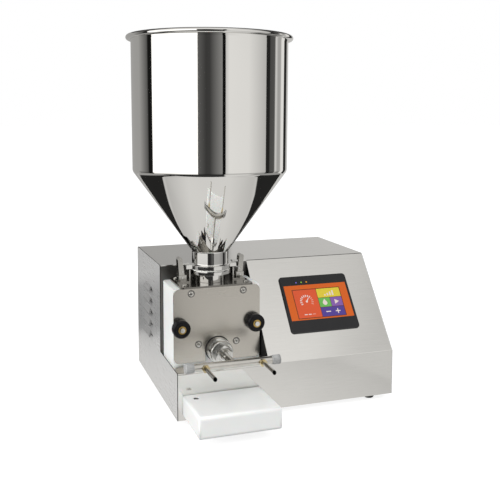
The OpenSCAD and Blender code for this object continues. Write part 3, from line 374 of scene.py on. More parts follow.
def make_finishes(scene):
    """Makes all finishes from the settings, each by its function and that function's values."""
    casing, panel, pump, hopper, outlet = (scene.filler_casing, scene.filler_panel, scene.filler_pump,
                                           scene.filler_hopper, scene.filler_outlet)
    # The hoods' tone is the side steel darkened by this share, as painted shade.
    hood_shade_share, fine = 0.62, 0.000003
    painted_shade_hood = [c * hood_shade_share for c in casing.side_steel]
    satin = {"depth": 0.000005, "spread": 0.025, "mirror": casing.side_mirror}
    recipes = {
        "cover_steel": (brushed_steel, casing.steel, casing.gloss, casing.grain, "X"),
        "side_steel": (brushed_steel, casing.side_steel, casing.side_gloss, casing.grain, "Y", satin),
        # Painted shade: the side steel darkened for the louver hoods.
        "hood_steel": (brushed_steel, painted_shade_hood, casing.side_gloss, casing.grain, "Y", satin),
        # Painted shade: the steel wall behind the pump darkened as if in shadow.
        "bay_steel": (brushed_steel, casing.bay, 0.4, casing.grain, "X"),
        "plate_steel": (brushed_steel, pump.plate, 0.24, casing.grain, "X", fine, 0.02),
        # Painted shade: the top plate's steel darkened.
        "edge_steel": (brushed_steel, pump.edge_steel, 0.2, casing.grain, "X", fine, 0.03),
        "polished_steel": (polished_steel, hopper.steel, hopper.gloss),
        "tube_steel": (turned_metal, outlet.tube, 0.09),
        # Painted shade: dark rings round the face screws.
        "washer_steel": (turned_metal, (0.22, 0.215, 0.205), 0.16),
        # Painted shade: near-black for the screws' sockets.
        "socket_steel": (turned_metal, (0.1, 0.097, 0.09), 0.25),
        "latch_steel": (turned_metal, (0.56, 0.55, 0.52), 0.14),
        "bright_steel": (turned_metal, (0.74, 0.74, 0.72), 0.12),
        "screw_steel": (turned_metal, (0.62, 0.61, 0.58), 0.2),
        "shaft_steel": (turned_metal, (0.55, 0.55, 0.54), 0.25),
        "gear_steel": (turned_metal, (0.5, 0.49, 0.47), 0.3),
        "brass": (turned_metal, pump.brass, 0.13),
        "insert_brass": (turned_metal, pump.insert, 0.2),
        # Painted shade: a dull near-black for inner faces, cut edges, louver mouths, the bay wall's cheek and
        # the needle tips.
        "dull_inside": (moulded, casing.inside, 0.7, {"Specular_IOR_Level": 0.0}),
        "white_plastic": (moulded, pump.plastic, 0.42, 700.0, 0.00003, 0.015,
                          {"Subsurface_Weight": 0.08, "Subsurface_Scale": 0.004}),
        "white_seal": (moulded, (0.75, 0.75, 0.72), 0.5),
        "black_rubber": (moulded, (0.014, 0.014, 0.014), 0.6, 1800.0, 0.00005),
        "black_plastic": (moulded, pump.knob, 0.24, 900.0, 0.00001, {"Specular_IOR_Level": 0.22}),
        "bezel_plastic": (moulded, panel.bezel, 0.38, 2500.0, 0.00002, {"Specular_IOR_Level": 0.3}),
        "cap_plastic": (moulded, outlet.cap, 0.2, 1200.0, 0.00002, 0.05,
                        {"Transmission_Weight": 0.55, "IOR": 1.4}),
        "motor_paint": (moulded, (0.1, 0.11, 0.12), 0.45, 1500.0, 0.00003),
        "board_green": (circuit_green, (0.01, 0.11, 0.04)),
        "supply_metal": (perforated, (0.6, 0.6, 0.58)),
    }
    for name, (make, *values) in recipes.items():
        named = values.pop() if isinstance(values[-1], dict) else {}
        FINISHES[name] = make(name, *values, **named)


def material(look):
    """The finish of a name. All are made when the first is asked for. A material stands for itself."""
    if not FINISHES:
        make_finishes(bpy.context.scene)
    return FINISHES[look] if isinstance(look, str) else look


# Meshes


def finish_mesh(bm, name, sharp_angle=30):
    """Mesh with smooth shading between its sharp edges."""
    bmesh.ops.recalc_face_normals(bm, faces=bm.faces)
    for face in bm.faces:
        face.smooth = True
    mesh = bpy.data.meshes.new(name)
    bm.to_mesh(mesh)
    bm.free()
    mesh.set_sharp_from_angle(angle=math.radians(sharp_angle))
    return mesh


def add_object(name, data):
    obj = bpy.data.objects.new(name, data)
    bpy.context.scene.collection.objects.link(obj)
    return obj


def put(name, bm, look, *nodes, body=None, sharp=30):
    """Adds a shape as a piece that stands for nodes, or rides on a body, with its finish or finishes."""
    mesh = finish_mesh(bm, name, sharp)
    obj = add_object(name, mesh)
    for each in (look if isinstance(look, list) else [look]):
        mesh.materials.append(material(each))
    obj.modifiers.new("even_normals", "WEIGHTED_NORMAL").keep_sharp = True
    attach(obj, body or BODY_OF[nodes[0]])
    if nodes:
        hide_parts(*nodes)
        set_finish(obj, SLOT_OF[nodes[0]])
    return obj


def soften(node, look, edge, sharp=30, steps=2):
    """Piece with a node's own shape, whose sharp edges are rounded."""
    bm = bmesh.new()
    bm.from_mesh(NODES[node].data)
    bmesh.ops.remove_doubles(bm, verts=bm.verts, dist=1e-6)
    bmesh.ops.dissolve_limit(bm, angle_limit=math.radians(0.3), verts=bm.verts, edges=bm.edges)
    corners = [e for e in bm.edges if len(e.link_faces) == 2 and e.calc_face_angle(0) > math.radians(sharp)]
    bmesh.ops.bevel(bm, geom=corners, offset=edge, segments=steps, profile=0.6, affect="EDGES",
                    clamp_overlap=True)
    return put(node + "_shown", bm, look, node, sharp=35)


def islands(node):
    """Boxes of the separate solids in a node, as (low, high) corners."""
    bm = bmesh.new()
    bm.from_mesh(NODES[node].data)
    bmesh.ops.remove_doubles(bm, verts=bm.verts, dist=1e-6)
    left, boxes = set(bm.verts), []
    while left:
        solid = grown = {left.pop()}
        while grown:
            grown = {link.other_vert(vert) for vert in grown for link in vert.link_edges} - solid
            solid = solid | grown
        left -= solid
        boxes.append([Vector([pick(v.co[k] for v in solid) for k in range(3)]) for pick in (min, max)])
    bm.free()
    return sorted(boxes, key=lambda box: tuple(box[0]))


def dress(look, *nodes):
    """Gives a finish to nodes that keep their own mesh."""
    for node in nodes:
        NODES[node].data.materials.clear()
        NODES[node].data.materials.append(material(look))
        NODES[node]["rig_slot"] = SLOT_OF[node]


def fillet(points, steps=6):
    """Line through (u, v) or (u, v, radius) points, with an arc at each corner that has a radius."""
    line = []
    for i, point in enumerate(points):
        here = Vector(point[:2])
        radius = point[2] if len(point) > 2 else 0
        if not radius:
            line.append(here)
            continue
        before = (Vector(points[i - 1][:2]) - here).normalized()
        after = (Vector(points[(i + 1) % len(points)][:2]) - here).normalized()
        half = before.angle(after) / 2
        centre = here + (before + after).normalized() * radius / math.sin(half)
        start = here + before * radius / math.tan(half) - centre
        turn = start.angle_signed(here + after * radius / math.tan(half) - centre)
        line += [centre + Matrix.Rotation(-turn * k / steps, 2) @ start for k in range(steps + 1)]
    return line


def ring_of(bm, place, radius, height, steps):
    """Vertices round Z. The radius may be a function of the angle, and the height one of the radius."""
    ring = []
    for k in range(steps):
        a = 2 * math.pi * k / steps
        r = radius(a) if callable(radius) else radius
        z = height(r) if callable(height) else height
        ring.append(bm.verts.new(place @ Vector((r * math.cos(a), r * math.sin(a), z))))
    return ring


def join_rings(bm, low, high, index=0):
    """Faces between two rings with the finish of that index. A single vertex makes the tip of a cone."""
    steps = max(len(low), len(high))
    for k in range(steps):
        n = (k + 1) % steps
        corners = [low[k % len(low)], low[n % len(low)], high[n % len(high)], high[k % len(high)]]
        corners = list(dict.fromkeys(corners))
        if len(corners) > 2:
            bm.faces.new(corners).material_index = index


def turn_about(bm, outline, segments, place, index=0):
    """Turns an (r, z) outline about Z into a closed ring of faces, and sets it in place."""
    rings = [ring_of(bm, place, r, z, 1 if r == 0 else segments) for r, z in outline]
    for low, high in zip(rings, rings[1:] + rings[:1]):
        join_rings(bm, low, high, index)


def prism(bm, outline, low, high, place, index=0):
    """Extrudes an (x, y) outline from z low to z high."""
    bottom = [bm.verts.new(place @ Vector((x, y, low))) for x, y in outline]
    top = [bm.verts.new(place @ Vector((x, y, high))) for x, y in outline]
    bm.faces.new(reversed(bottom)).material_index = index
    bm.faces.new(top).material_index = index
    join_rings(bm, bottom, top, index)


def box_outline(width, height, radius, x=0, y=0):
    """Rectangle about (x, y) with round corners."""
    w, h = width / 2, height / 2
    return fillet([(x + i * w, y + j * h, radius) for i, j in ((-1, -1), (1, -1), (1, 1), (-1, 1))])


def domed_screw(bm, place, radius, height, steps=24):
    """Round head standing on z 0 of its place. Its round socket takes the second finish, a painted shade."""
    socket, depth = radius * 0.26, height * 0.45
    dome_shares = ((0.6, 0.98), (0.78, 0.88), (0.9, 0.7), (0.98, 0.4), (1, 0.15), (1, 0))
    outline = [(socket, depth), (socket, height)] + [(radius * r, height * z) for r, z in dome_shares]
    rings = [ring_of(bm, place, r, z, steps) for r, z in outline]
    for low, high in zip(rings, rings[1:]):
        join_rings(bm, low, high, int(low is rings[0]))
    bm.faces.new(rings[0]).material_index = 1


def facing_front(point):
    """Frame at a point whose +Z looks to the front, along -Y."""
    return Matrix.Translation(point) @ Matrix.Rotation(math.pi / 2, 4, "X")


def slope_frame():
    """Frame in the middle of the display's face: +X to the right, +Y up the slope, +Z out of it."""
    mesh = NODES["touch_screen"].data
    face = max(mesh.polygons, key=lambda p: p.area * (1 if p.normal.z > 0 and p.normal.y < 0 else 0))
    out = face.normal.copy()
    corner = mesh.vertices[face.vertices[0]].co
    same = [v.co for v in mesh.vertices if abs((v.co - corner).dot(out)) < 1e-6]
    centre = sum(same, Vector()) / len(same)
    across = Vector((1, 0, 0))
    return Matrix.Translation(centre) @ Matrix((across, out.cross(across), out)).transposed().to_4x4()


class FILLER_OT_casing(bpy.types.Operator):
    """Casing: cover, sides, bay wall, back and base in brushed sheet"""
    bl_idname = "filler.casing"
    bl_label = "Casing"

    def execute(self, context):
        edge = context.scene.filler_casing.edge
        soften("console_cover", "cover_steel", edge)
        # The bay wall's steel is darkened as painted shade. Its face that looks left, on its right half,
        # takes the near-black painted shade.
        wall = soften("recess_wall", ["bay_steel", "dull_inside"], edge)
        for face in wall.data.polygons:
            face.material_index = int(face.normal.x < -0.5 and face.center.x > middle("recess_wall").x)
        for node in ("left_side_panel", "right_side_panel", "back_panel"):
            # The sides take painted shade on their inner faces and a darker painted shade steel on the hoods.
            soften(node, ["side_steel", "dull_inside", "hood_steel"], edge)
        self.paint_side_shade()
        # The polished hopper in the photo doesn't mirror these
        for name in ("console_cover_shown", "right_side_panel_shown", "rubber_feet", "base_pan", "gearbox",
                     "control_board", "power_supply", "drive_motor", "motor_bracket"):
            bpy.data.objects[name].visible_glossy = False
        dress("side_steel", "base_pan")
        dress("screw_steel", "panel_screws")
        dress("black_rubber", "rubber_feet")
        return {"FINISHED"}

    def paint_side_shade(self):
        """Painted shade for the left side's inner face, cut edges and louver mouths, and a darker painted
        shade copy of the side steel for the hoods.
        """
        sheet, slack, front_edge = 0.0012, 0.0001, 0.005
        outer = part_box("recess_wall")[0].x - sheet - slack
        behind_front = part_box("left_side_panel")[0].y + front_edge
        for face in bpy.data.objects["left_side_panel_shown"].data.polygons:
            # Inner faces, cut edges and louver mouths take painted shade, and the hoods a darker painted
            # shade steel.
            inner = face.normal.x > 0.05 or (abs(face.normal.x) < 0.5 and face.center.x > outer)
            mouth = face.normal.y < -0.5 and face.center.y > behind_front
            painted_shade_hood = face.center.x < outer - sheet
            face.material_index = 1 if inner or mouth else 2 if painted_shade_hood else 0


class FILLER_OT_touch_panel(bpy.types.Operator):
    """Touch panel: bezel, display with its tiles, status lamps and housing"""
    bl_idname = "filler.touch_panel"
    bl_label = "Touch panel"

    def execute(self, context):
        s = context.scene.filler_panel
        soften("touch_bezel", "bezel_plastic", s.chamfer * 0.5, steps=3)
        dress("bezel_plastic", "touch_housing")
        self.display(s)
        self.lamps(s)
        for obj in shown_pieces():
            if obj.name.startswith(("touch_", "display", "status_lamp")):
                obj.visible_glossy = False
        return {"FINISHED"}

    def display(self, s):
        """The lit picture: one large tile with a portion gauge and four small ones with simple signs."""
        width, height, corner, layer = 0.117, 0.065, 0.0006, 0.00004
        left, right, low, high = -0.0445, 0.044, -0.0295, 0.0235
        split, gap, border = -0.0005, 0.0008, 0.0018
        half, step = (split + right) / 2, (high - low) / 3
        tones = {"ground": s.ground, "field": s.field, "main": s.main_tile, "white": (0.85, 0.72, 0.68),
                 "yellow": (0.78, 0.62, 0.05), "violet": (0.25, 0.12, 0.42), "green": (0.16, 0.5, 0.1),
                 "blue": (0.09, 0.055, 0.3), "pale": (0.8, 0.35, 0.27)}
        index = {name: i for i, name in enumerate(tones)}
        bm = bmesh.new()
        place = slope_frame()

        def sign(tone, outline, level=3):
            prism(bm, outline, (level - 1) * layer, level * layer, place, index[tone])

        def bar(tone, x, y, wide, tall, radius=0.0004, level=3):
            sign(tone, box_outline(wide, tall, radius, x, y), level)

        def tile(tone, x0, y0, x1, y1, grow=-gap, level=2):
            x, y = (x0 + x1) / 2, (y0 + y1) / 2
            bar(tone, x, y, x1 - x0 + grow, y1 - y0 + grow, corner, level)
            return x, y

        bar("ground", 0, 0, width, height, 0.0002, 0)
        tile("field", left, low, right, high, border, 1)

        # Large tile: the gauge and three marks
        x, y = tile("main", left, low, split, high)
        self.gauge(sign, x, y + 0.004)
        pitch, wide, tall = 0.0075, 0.0055, 0.0016
        for k in range(3):
            bar("white" if k < 2 else "pale", x - pitch + k * pitch, low + 0.0065, wide, tall, 0.0005)

        # Four rising bars, a play sign, a drop, and a minus with a plus
        x, y = tile("yellow", split, high - step, right, high)
        pitch, wide, first, rise = 0.005, 0.0028, 0.0025, 0.0022
        for k in range(4):
            bar("white", x - 1.5 * pitch + k * pitch, y - 0.0042 + rise / 2 * k, wide, first + rise * k)
        x, y = tile("violet", half, low + step, right, high - step)
        reach, back = 0.0045, 0.0035
        sign("white", [(x - back, y - reach), (x + reach, y), (x - back, y + reach)])
        x, y = tile("green", split, low + step, half, high - step)
        radius, sink, tip, turn, steps = 0.0042, 0.001, 0.0066, 0.72 * math.pi, 18
        drop = [(x + radius * math.sin(a), y - sink - radius * math.cos(a))
                for a in (turn * (2 * k / steps - 1) for k in range(steps + 1))]
        sign("white", drop + [(x, y + tip)])
        x, y = tile("blue", split, low, right, low + step)
        long, thick = 0.009, 0.0018
        for k in (-1, 1):
            bar("white", x + k * long, y, long, thick)
        bar("white", x + long, y, thick, long, level=4)
        glass = [lit("display_" + name, tone, s.glow) for name, tone in tones.items()]
        put("display", bm, glass, "touch_screen")

    def gauge(self, sign, x, y):
        """A dial made of bars in an arc, the first ones white, and a needle."""
        bars, white, inner, outer, half_w = 13, 9, 0.0085, 0.0125, 0.0007
        start, sweep = 1.15 * math.pi, 1.3 * math.pi
        for k in range(bars):
            a = start - sweep * k / (bars - 1)
            along, across = Vector((math.cos(a), math.sin(a))), Vector((-math.sin(a), math.cos(a))) * half_w
            corners = [Vector((x, y)) + along * r + across * w
                       for r, w in ((inner, -1), (outer, -1.4), (outer, 1.4), (inner, 1))]
            sign("white" if k < white else "pale", [tuple(c) for c in corners])
        hub, steps = 0.002, 24
        sign("white", [(x + hub * math.cos(a), y + hub * math.sin(a))
                       for a in (2 * math.pi * k / steps for k in range(steps))])
        needle = ((-0.0012, 0), (0.0012, 0), (0.0048, 0.0062), (0.0038, 0.0066))
        sign("white", [(x + u, y + v) for u, v in needle], 4)

    def lamps(self, s):
        """Three status lamps in the bezel's upper band."""
        place = slope_frame()
        bezel_face, first, height, pitch = 0.0003, -0.0336, 0.0377, 0.0097
        lamp_shares = ((0, -0.6), (1.25, -0.6), (1.25, 0.32), (1, 0.42), (0.8, 0.5), (0.4, 0.62), (0, 0.68))
        outline = [(s.led * r, s.led * z) for r, z in lamp_shares]
        for k, tone in enumerate(((0.16, 0.13, 0.5), (0.25, 0.5, 0.04), (0.75, 0.3, 0.01))):
            bm = bmesh.new()
            centre = Matrix.Translation((first + k * pitch, height, bezel_face - s.led * 0.3))
            turn_about(bm, outline, 24, place @ centre)
            put("status_lamp_%d" % (k + 1), bm, lit("lamp_%d" % (k + 1), tone, glow=0.6), body="casing")


class FILLER_OT_pump_head(bpy.types.Operator):
    """Pump head: white block, face plate with its screws, top plate"""
    bl_idname = "filler.pump_head"
    bl_label = "Pump head"

    def execute(self, context):
        s = context.scene.filler_pump
        soften("pump_block", "white_plastic", s.edge, sharp=50)
        soften("pump_face_plate", "plate_steel", edge=0.0004, sharp=50)
        # The top plate takes a darkened steel as painted shade.
        soften("top_plate", "edge_steel", edge=0.0011, sharp=50, steps=4)
        soften("top_plate_screws", "latch_steel", edge=0.00015)
        self.face_screws(s.washer)
        return {"FINISHED"}

    def face_screws(self, washer):
        """Domed screws with a socket in painted shade, each on a dark ring that paints the shade round it."""
        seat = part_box("pump_face_plate")[0].y
        chamfer = 0.0004
        bm = bmesh.new()
        for low, high in islands("face_plate_screws"):
            place = facing_front(((low.x + high.x) / 2, seat, (low.z + high.z) / 2))
            radius = (high.x - low.x) / 2
            hole, rim, top = radius * 0.9, radius * 1.28, radius * 1.2
            # A dark ring round the screw, as painted shade.
            turn_about(bm, [(hole, 0), (rim, 0), (rim, washer - chamfer), (top, washer), (hole, washer)], 32,
                       place, index=2)
            domed_screw(bm, place, radius, seat - low.y)
        put("face_plate_screws_shown", bm, ["screw_steel", "socket_steel", "washer_steel"],
            "face_plate_screws")


class FILLER_OT_drive(bpy.types.Operator):
    """Drive: gears, shafts, bush, seal, coupling, gearbox, motor and bracket"""
    bl_idname = "filler.drive"
    bl_label = "Drive"

    def execute(self, context):
        dress("gear_steel", "drive_gear", "idler_gear")
        dress("shaft_steel", "drive_shaft", "idler_pin", "shaft_coupling")
        dress("brass", "shaft_bush")
        dress("black_rubber", "shaft_seal")
        dress("motor_paint", "gearbox", "drive_motor")
        dress("plate_steel", "motor_bracket")
        return {"FINISHED"}


class FILLER_OT_knobs(bpy.types.Operator):
    """Clamp knobs with brass inserts on steel studs"""
    bl_idname = "filler.knobs"
    bl_label = "Knobs"

    def execute(self, context):
        soften("knob_studs", "bright_steel", edge=0.0005)
        for side in SIDES:
            self.knob("knob_" + side, context.scene.filler_pump.knob_share)
            soften("knob_insert_" + side, "insert_brass", edge=0.0002)
        return {"FINISHED"}

    def knob(self, node, width_share):
        """Turned from an outline: a shallow dish round the insert, a rounded front edge and a fine waist."""
        low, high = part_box(node)
        insert = half_width("knob_insert_left")
        r, deep = half_width(node) * width_share, high.y - low.y
        foot, waist, front, land, dish = 0.001, 0.0006, 0.0034, 0.0024, 0.0007
        outline = fillet([(insert, 0), (r - foot, 0, 0.0006), (r - waist / 3, deep * 0.18, 0.0004),
                          (r - waist, deep * 0.24, 0.0004), (r, deep * 0.32, 0.001), (r, deep, front),
                          (insert + land * 1.5, deep - 0.0002, 0.0008), (insert + land, deep - dish, 0.0006),
                          (insert, deep - dish)])
        bm = bmesh.new()
        centre = middle(node)
        turn_about(bm, outline, 64, facing_front((centre.x, high.y, centre.z)))
        put(node + "_shown", bm, "black_plastic", node)


class FILLER_OT_hopper(bpy.types.Operator):
    """Hopper with rolled rim, ground seam, neck and eared flange, its seal and socket"""
    bl_idname = "filler.hopper"
    bl_label = "Hopper"

    def execute(self, context):
        s = context.scene.filler_hopper
        low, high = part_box("hopper")
        axis = middle("inlet_socket")
        flange, base = half_width("inlet_socket"), low.z
        rim, top = half_width("hopper") - s.bead, high.z - s.bead
        ledge, seam = base + s.flange_t, top - s.wall_h
        wall_fillet, cone_fillet, ear_corner, ear_inset = 0.003, 0.004, 0.0012, 0.0002
        outer = fillet([(0, base), (flange, base, 0.0005), (flange, ledge, 0.0007),
                        (s.neck_r, ledge, s.neck_fillet), (s.neck_r, ledge + s.neck_h, cone_fillet),
                        (s.seam_r, seam, s.seam), (s.wall_r, top - s.bead * 1.8, wall_fillet),
                        (rim - s.bead * 0.76, top - s.bead * 0.65)], 10)[1:-1]
        bead = [(rim + s.bead * math.cos(a), top + s.bead * math.sin(a))
                for a in (math.radians(-140 + 10 * k) for k in range(33))]
        inner = fillet([bead[-1], (s.wall_r - s.wall, top - s.bead, wall_fillet),
                        (s.seam_r - s.wall, seam, s.seam), (s.neck_r - s.wall, ledge + s.neck_h, cone_fillet),
                        (s.neck_r - s.wall, base)], 8)[1:]
        bm = bmesh.new()
        place = Matrix.Translation((axis.x, axis.y, 0))
        turn_about(bm, outer + bead + inner, s.segments, place)
        ear_end = max(v.co.x for v in NODES["hopper"].data.vertices if v.co.z < ledge) - axis.x
        ear_start = flange * 0.9
        for side in (-1, 1):
            ear = box_outline(ear_end - ear_start, s.ear_w, ear_corner, side * (ear_end + ear_start) / 2)
            prism(bm, ear, base + ear_inset, ledge - ear_inset, place)
        put("hopper_shown", bm, "polished_steel", "hopper", sharp=32)
        soften("inlet_socket", "polished_steel", edge=0.0006, sharp=50)
        dress("white_seal", "hopper_seal")
        return {"FINISHED"}


class FILLER_OT_latches(bpy.types.Operator):
    """Latches beside the neck: bases, levers, hooks and pins"""
    bl_idname = "filler.latches"
    bl_label = "Latches"

    def execute(self, context):
        for side in SIDES:
            soften("latch_base_" + side, "latch_steel", edge=0.0006)
            soften("latch_lever_" + side, "latch_steel", edge=0.0007)
            soften("latch_hook_" + side, "bright_steel", edge=0.0008)
        soften("latch_pivot_pins", "bright_steel", edge=0.0004)
        return {"FINISHED"}


class FILLER_OT_outlet(bpy.types.Operator):
    """Outlet: union, nut, black ring of painted shadow, manifold and its ribbed end caps"""
    bl_idname = "filler.outlet"
    bl_label = "Outlet"

    def execute(self, context):
        soften("outlet_union", "bright_steel", edge=0.0004)
        self.nut()
        self.gasket()
        soften("manifold", "tube_steel", edge=0.0003)
        for side in SIDES:
            soften("manifold_cap_" + side, "cap_plastic", edge=0.0002)
        return {"FINISHED"}

    def nut(self):
        """Hexagon nut round the pipe: chamfered front corners, a round flange and a bore."""
        low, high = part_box("outlet_nut")
        centre, deep, flange = (low + high) / 2, high.y - low.y, (high.z - low.z) / 2
        half = half_width("outlet_nut") * math.cos(math.pi / 6)
        bore = min((v.co.xz - centre.xz).length for v in NODES["outlet_nut"].data.vertices)
        inner, collar, slope, groove, chamfer = half * 0.96, flange - half, 0.577, 0.0004, 0.001
        between = (inner + bore) / 2

        def corner(a):
            return half / math.cos((a + math.pi / 6) % (math.pi / 3) - math.pi / 6)

        def cone(r):
            return deep - (r - inner) * slope

        bm = bmesh.new()
        turn_about(bm, [(bore, 0), (flange, 0), (flange, collar), (corner, collar), (corner, cone),
                        (inner, deep), (between, deep), (between - 0.0003, deep - groove),
                        (bore + 0.0008, deep - groove / 2), (bore, deep - chamfer)], 96,
                   facing_front((centre.x, high.y, centre.z)))
        put("outlet_nut_shown", bm, "bright_steel", "outlet_nut")

    def gasket(self):
        """Black ring that fills the notch of the face plate round the union: painted shadow for the gap
        there.
        """
        low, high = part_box("outlet_union")
        union, seat = (high.z - low.z) / 2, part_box("pump_face_plate")[0].y
        under, shown, height, chamfer, depth = 0.0005, 0.0011, 0.0019, 0.0004, 0.0024
        inner, outer, edge = union - under, union + shown, height - chamfer
        bm = bmesh.new()
        turn_about(bm, [(inner, 0), (outer, 0), (outer, edge), (outer - chamfer, height),
                        (inner + chamfer, height), (inner, edge)], 64,
                   facing_front((middle("outlet_nut").x, seat + depth, (low.z + high.z) / 2)))
        put("outlet_gasket", bm, "black_rubber", body=BODY_OF["outlet_union"])


class FILLER_OT_needles(bpy.types.Operator):
    """Needles with their brass nuts"""
    bl_idname = "filler.needles"
    bl_label = "Needles"

    def execute(self, context):
        for side in SIDES:
            soften("needle_nut_" + side, "brass", edge=0.0003)
            needle = soften("needle_" + side, ["tube_steel", "dull_inside"], edge=0.0001)
            self.widen(needle.data, middle("needle_" + side), context.scene.filler_outlet.needle_share)
        return {"FINISHED"}

    def widen(self, mesh, centre, width_share):
        """A little wider about its axis, with painted shade on the front faces of its tip."""
        for vertex in mesh.vertices:
            vertex.co.x = centre.x + (vertex.co.x - centre.x) * width_share
            vertex.co.z = centre.z + (vertex.co.z - centre.z) * width_share
        # The tip's front faces take painted shade.
        for face in mesh.polygons:
            face.material_index = int(face.normal.y < -0.3 and face.center.y < centre.y)


class FILLER_OT_rest_block(bpy.types.Operator):
    """White rest block with its screw and bracket"""
    bl_idname = "filler.rest_block"
    bl_label = "Rest block"

    def execute(self, context):
        soften("rest_block", "white_plastic", edge=0.0005, sharp=60)
        soften("rest_block_screw", "screw_steel", edge=0.00015)
        dress("plate_steel", "rest_bracket")
        return {"FINISHED"}


class FILLER_OT_back_fittings(bpy.types.Operator):
    """Back: inlet with its switch, control board and power supply"""
    bl_idname = "filler.back_fittings"
    bl_label = "Back fittings"

    def execute(self, context):
        soften("power_inlet", "black_plastic", edge=0.0004)
        soften("power_switch", "black_plastic", edge=0.0004)
        dress("board_green", "control_board")
        dress("supply_metal", "power_supply")
        return {"FINISHED"}


class FILLER_OT_stage(bpy.types.Operator):
    """Stage: floor, camera, lamps and the studio that the polished steel mirrors"""
    bl_idname = "filler.stage"
    bl_label = "Stage"

    def execute(self, context):
        s = context.scene.filler_stage
        context.scene.view_settings.view_transform = "Standard"
        self.camera(context, s)
        self.world(context, s)
        self.floor()
        self.studio(s, context.scene.filler_hopper.wall_r)
        self.lamps(s)
        return {"FINISHED"}

    def camera(self, context, s):
        data = bpy.data.cameras.new("camera")
        data.lens = s.lens
        data.sensor_width = 36
        data.shift_y = s.shift
        data.clip_end = 50
        cam = add_object("camera", data)
        turned = Matrix.Rotation(-s.yaw, 4, "Z") @ Matrix.Rotation(math.pi / 2 - s.pitch, 4, "X")
        cam.matrix_world = Matrix.Translation(s.place) @ turned @ Matrix.Rotation(s.roll, 4, "Z")
        context.scene.camera = cam

    def world(self, context, s):
        """White where the camera, gloss and glass look, and even daylight for the rest."""
        world = bpy.data.worlds.new("studio")
        world.use_nodes = True
        nodes = Nodes(world.node_tree)
        path = nodes.add("ShaderNodeLightPath").outputs
        glossy = nodes.maths("MAXIMUM", path["Is Glossy Ray"], path["Is Transmission Ray"])
        seen = nodes.maths("MAXIMUM", path["Is Camera Ray"], glossy)
        level = nodes.add("ShaderNodeMapRange", in0=seen, in3=s.daylight, in4=1.0)
        nodes.fill(world.node_tree.nodes["Background"], Color=(1, 1, 1), Strength=level.outputs[0])
        context.scene.world = world

    def floor(self):
        """Pale floor that keeps the shadow and looks white to the camera. Gloss sees the studio instead."""
        reach, glow = 30.0, 0.8
        bm = bmesh.new()
        bmesh.ops.create_grid(bm, x_segments=2, y_segments=2, size=reach)
        floor = add_object("floor", finish_mesh(bm, "floor"))
        finish = Finish("floor_white", Base_Color=(0.4, 0.4, 0.4), Roughness=0.9, Emission_Color=(1, 1, 1),
                        Specular_IOR_Level=0.0)
        path = finish.add("ShaderNodeLightPath").outputs
        seen = finish.maths("MAXIMUM", path["Is Camera Ray"], path["Is Transmission Ray"])
        finish.fill(finish.shader, Emission_Strength=finish.maths("MULTIPLY", seen, glow))
        floor.data.materials.append(finish.material)
        floor.visible_glossy = False
        floor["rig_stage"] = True

    def card(self, name, rows):
        """A sheet of the studio that only gloss sees. Each row is a line of (u, v, z, tone)."""
        bm = bmesh.new()
        layer = bm.loops.layers.float_color.new("tone")
        for row, after in zip(rows, rows[1:]):
            for k in range(len(row) - 1):
                corners = (row[k], row[k + 1], after[k + 1], after[k])
                face = bm.faces.new([bm.verts.new(self.turned @ Vector(point)) for *point, _ in corners])
                for loop, (*_, tone) in zip(face.loops, corners):
                    loop[layer] = (tone, tone * 0.985, tone * 0.96, 1)
        mesh = bpy.data.meshes.new(name)
        bm.to_mesh(mesh)
        bm.free()
        mesh.materials.append(self.glow)
        card = add_object(name, mesh)
        card.visible_camera = card.visible_diffuse = card.visible_shadow = False
        card.visible_transmission = card.visible_volume_scatter = False
        card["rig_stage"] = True

    def studio(self, s, barrel):
        """The room that the steel mirrors: a pale table between dark edges, and upright cards around it."""
        finish = Finish("studio_cards", Base_Color=(0, 0, 0), Specular_IOR_Level=0.0, Emission_Strength=1.0)
        tones = finish.add("ShaderNodeVertexColor", {"layer_name": "tone"})
        finish.fill(finish.shader, Emission_Color=tones.outputs[0])
        finish.material.cycles.emission_sampling = "NONE"
        axis = middle("inlet_socket")
        self.glow = finish.material
        self.turned = Matrix.Translation((axis.x, axis.y, 0)) @ Matrix.Rotation(-s.yaw, 4, "Z")
        self.table(s.table / 2)
        self.ceiling(s.ceiling)
        self.ring(s, barrel)

    def table(self, half):
        """A pale table with round corners on a dark floor, grey behind, and bright at the right in front."""
        edge, end, dark = 0.008, 4, 0.02
        table_shares = ((-1, 0.66), (-0.96, 0.62), (-0.93, 0.56), (-0.4, 0.76), (0.4, 0.76), (0.93, 0.6),
                        (0.96, 0.62), (1, 0.66))
        reach_shares = ((-1, 1.14), (-0.25, 1.1), (-0.05, 1), (0.4, 0.98), (0.75, 0.9), (1, 0.76),
                        (1.18, 0.5))
        outline = [(half * v, half * u) for v, u in reach_shares] + [(half * v, 0.001) for v in (1.22, 2.2)]
        rows = []
        for v, reach in outline:
            line = [(-end, 0.38), (-half * 1.65, 0.38), (-half * 1.6, dark), (-reach - edge, dark)]
            line += [(reach * u, tone if reach > edge else dark) for u, tone in table_shares]
            line += [(reach + edge, dark), (half * 1.6, dark), (half * 1.65, 0.35), (end, 0.35)]
            rows.append([(u, v, 0, tone) for u, tone in line])
        self.card("studio_table", rows)
        behind = ((-end, 0.5), (-half, 0.5), (0, 0.72), (half, 0.6), (end, 0.5))
        self.card("studio_behind", [[(u, v, 0, tone) for u, tone in behind] for v in (half * 2.21, end)])
        front = ((-end, 0.03), (-half, 0.03), (half * 0.45, 0.03), (half * 0.55, 0.75), (end, 0.75))
        self.card("studio_front", [[(u * k, v, -0.0005, tone) for u, tone in front]
                                   for v, k in ((-end, 9), (-half - edge, 1))])
        self.card("studio_corner", [[(half * u, v, 0.0005, 0.66) for u in (1.0, 1.7)]
                                    for v in (-half - edge, -half * 0.12)])

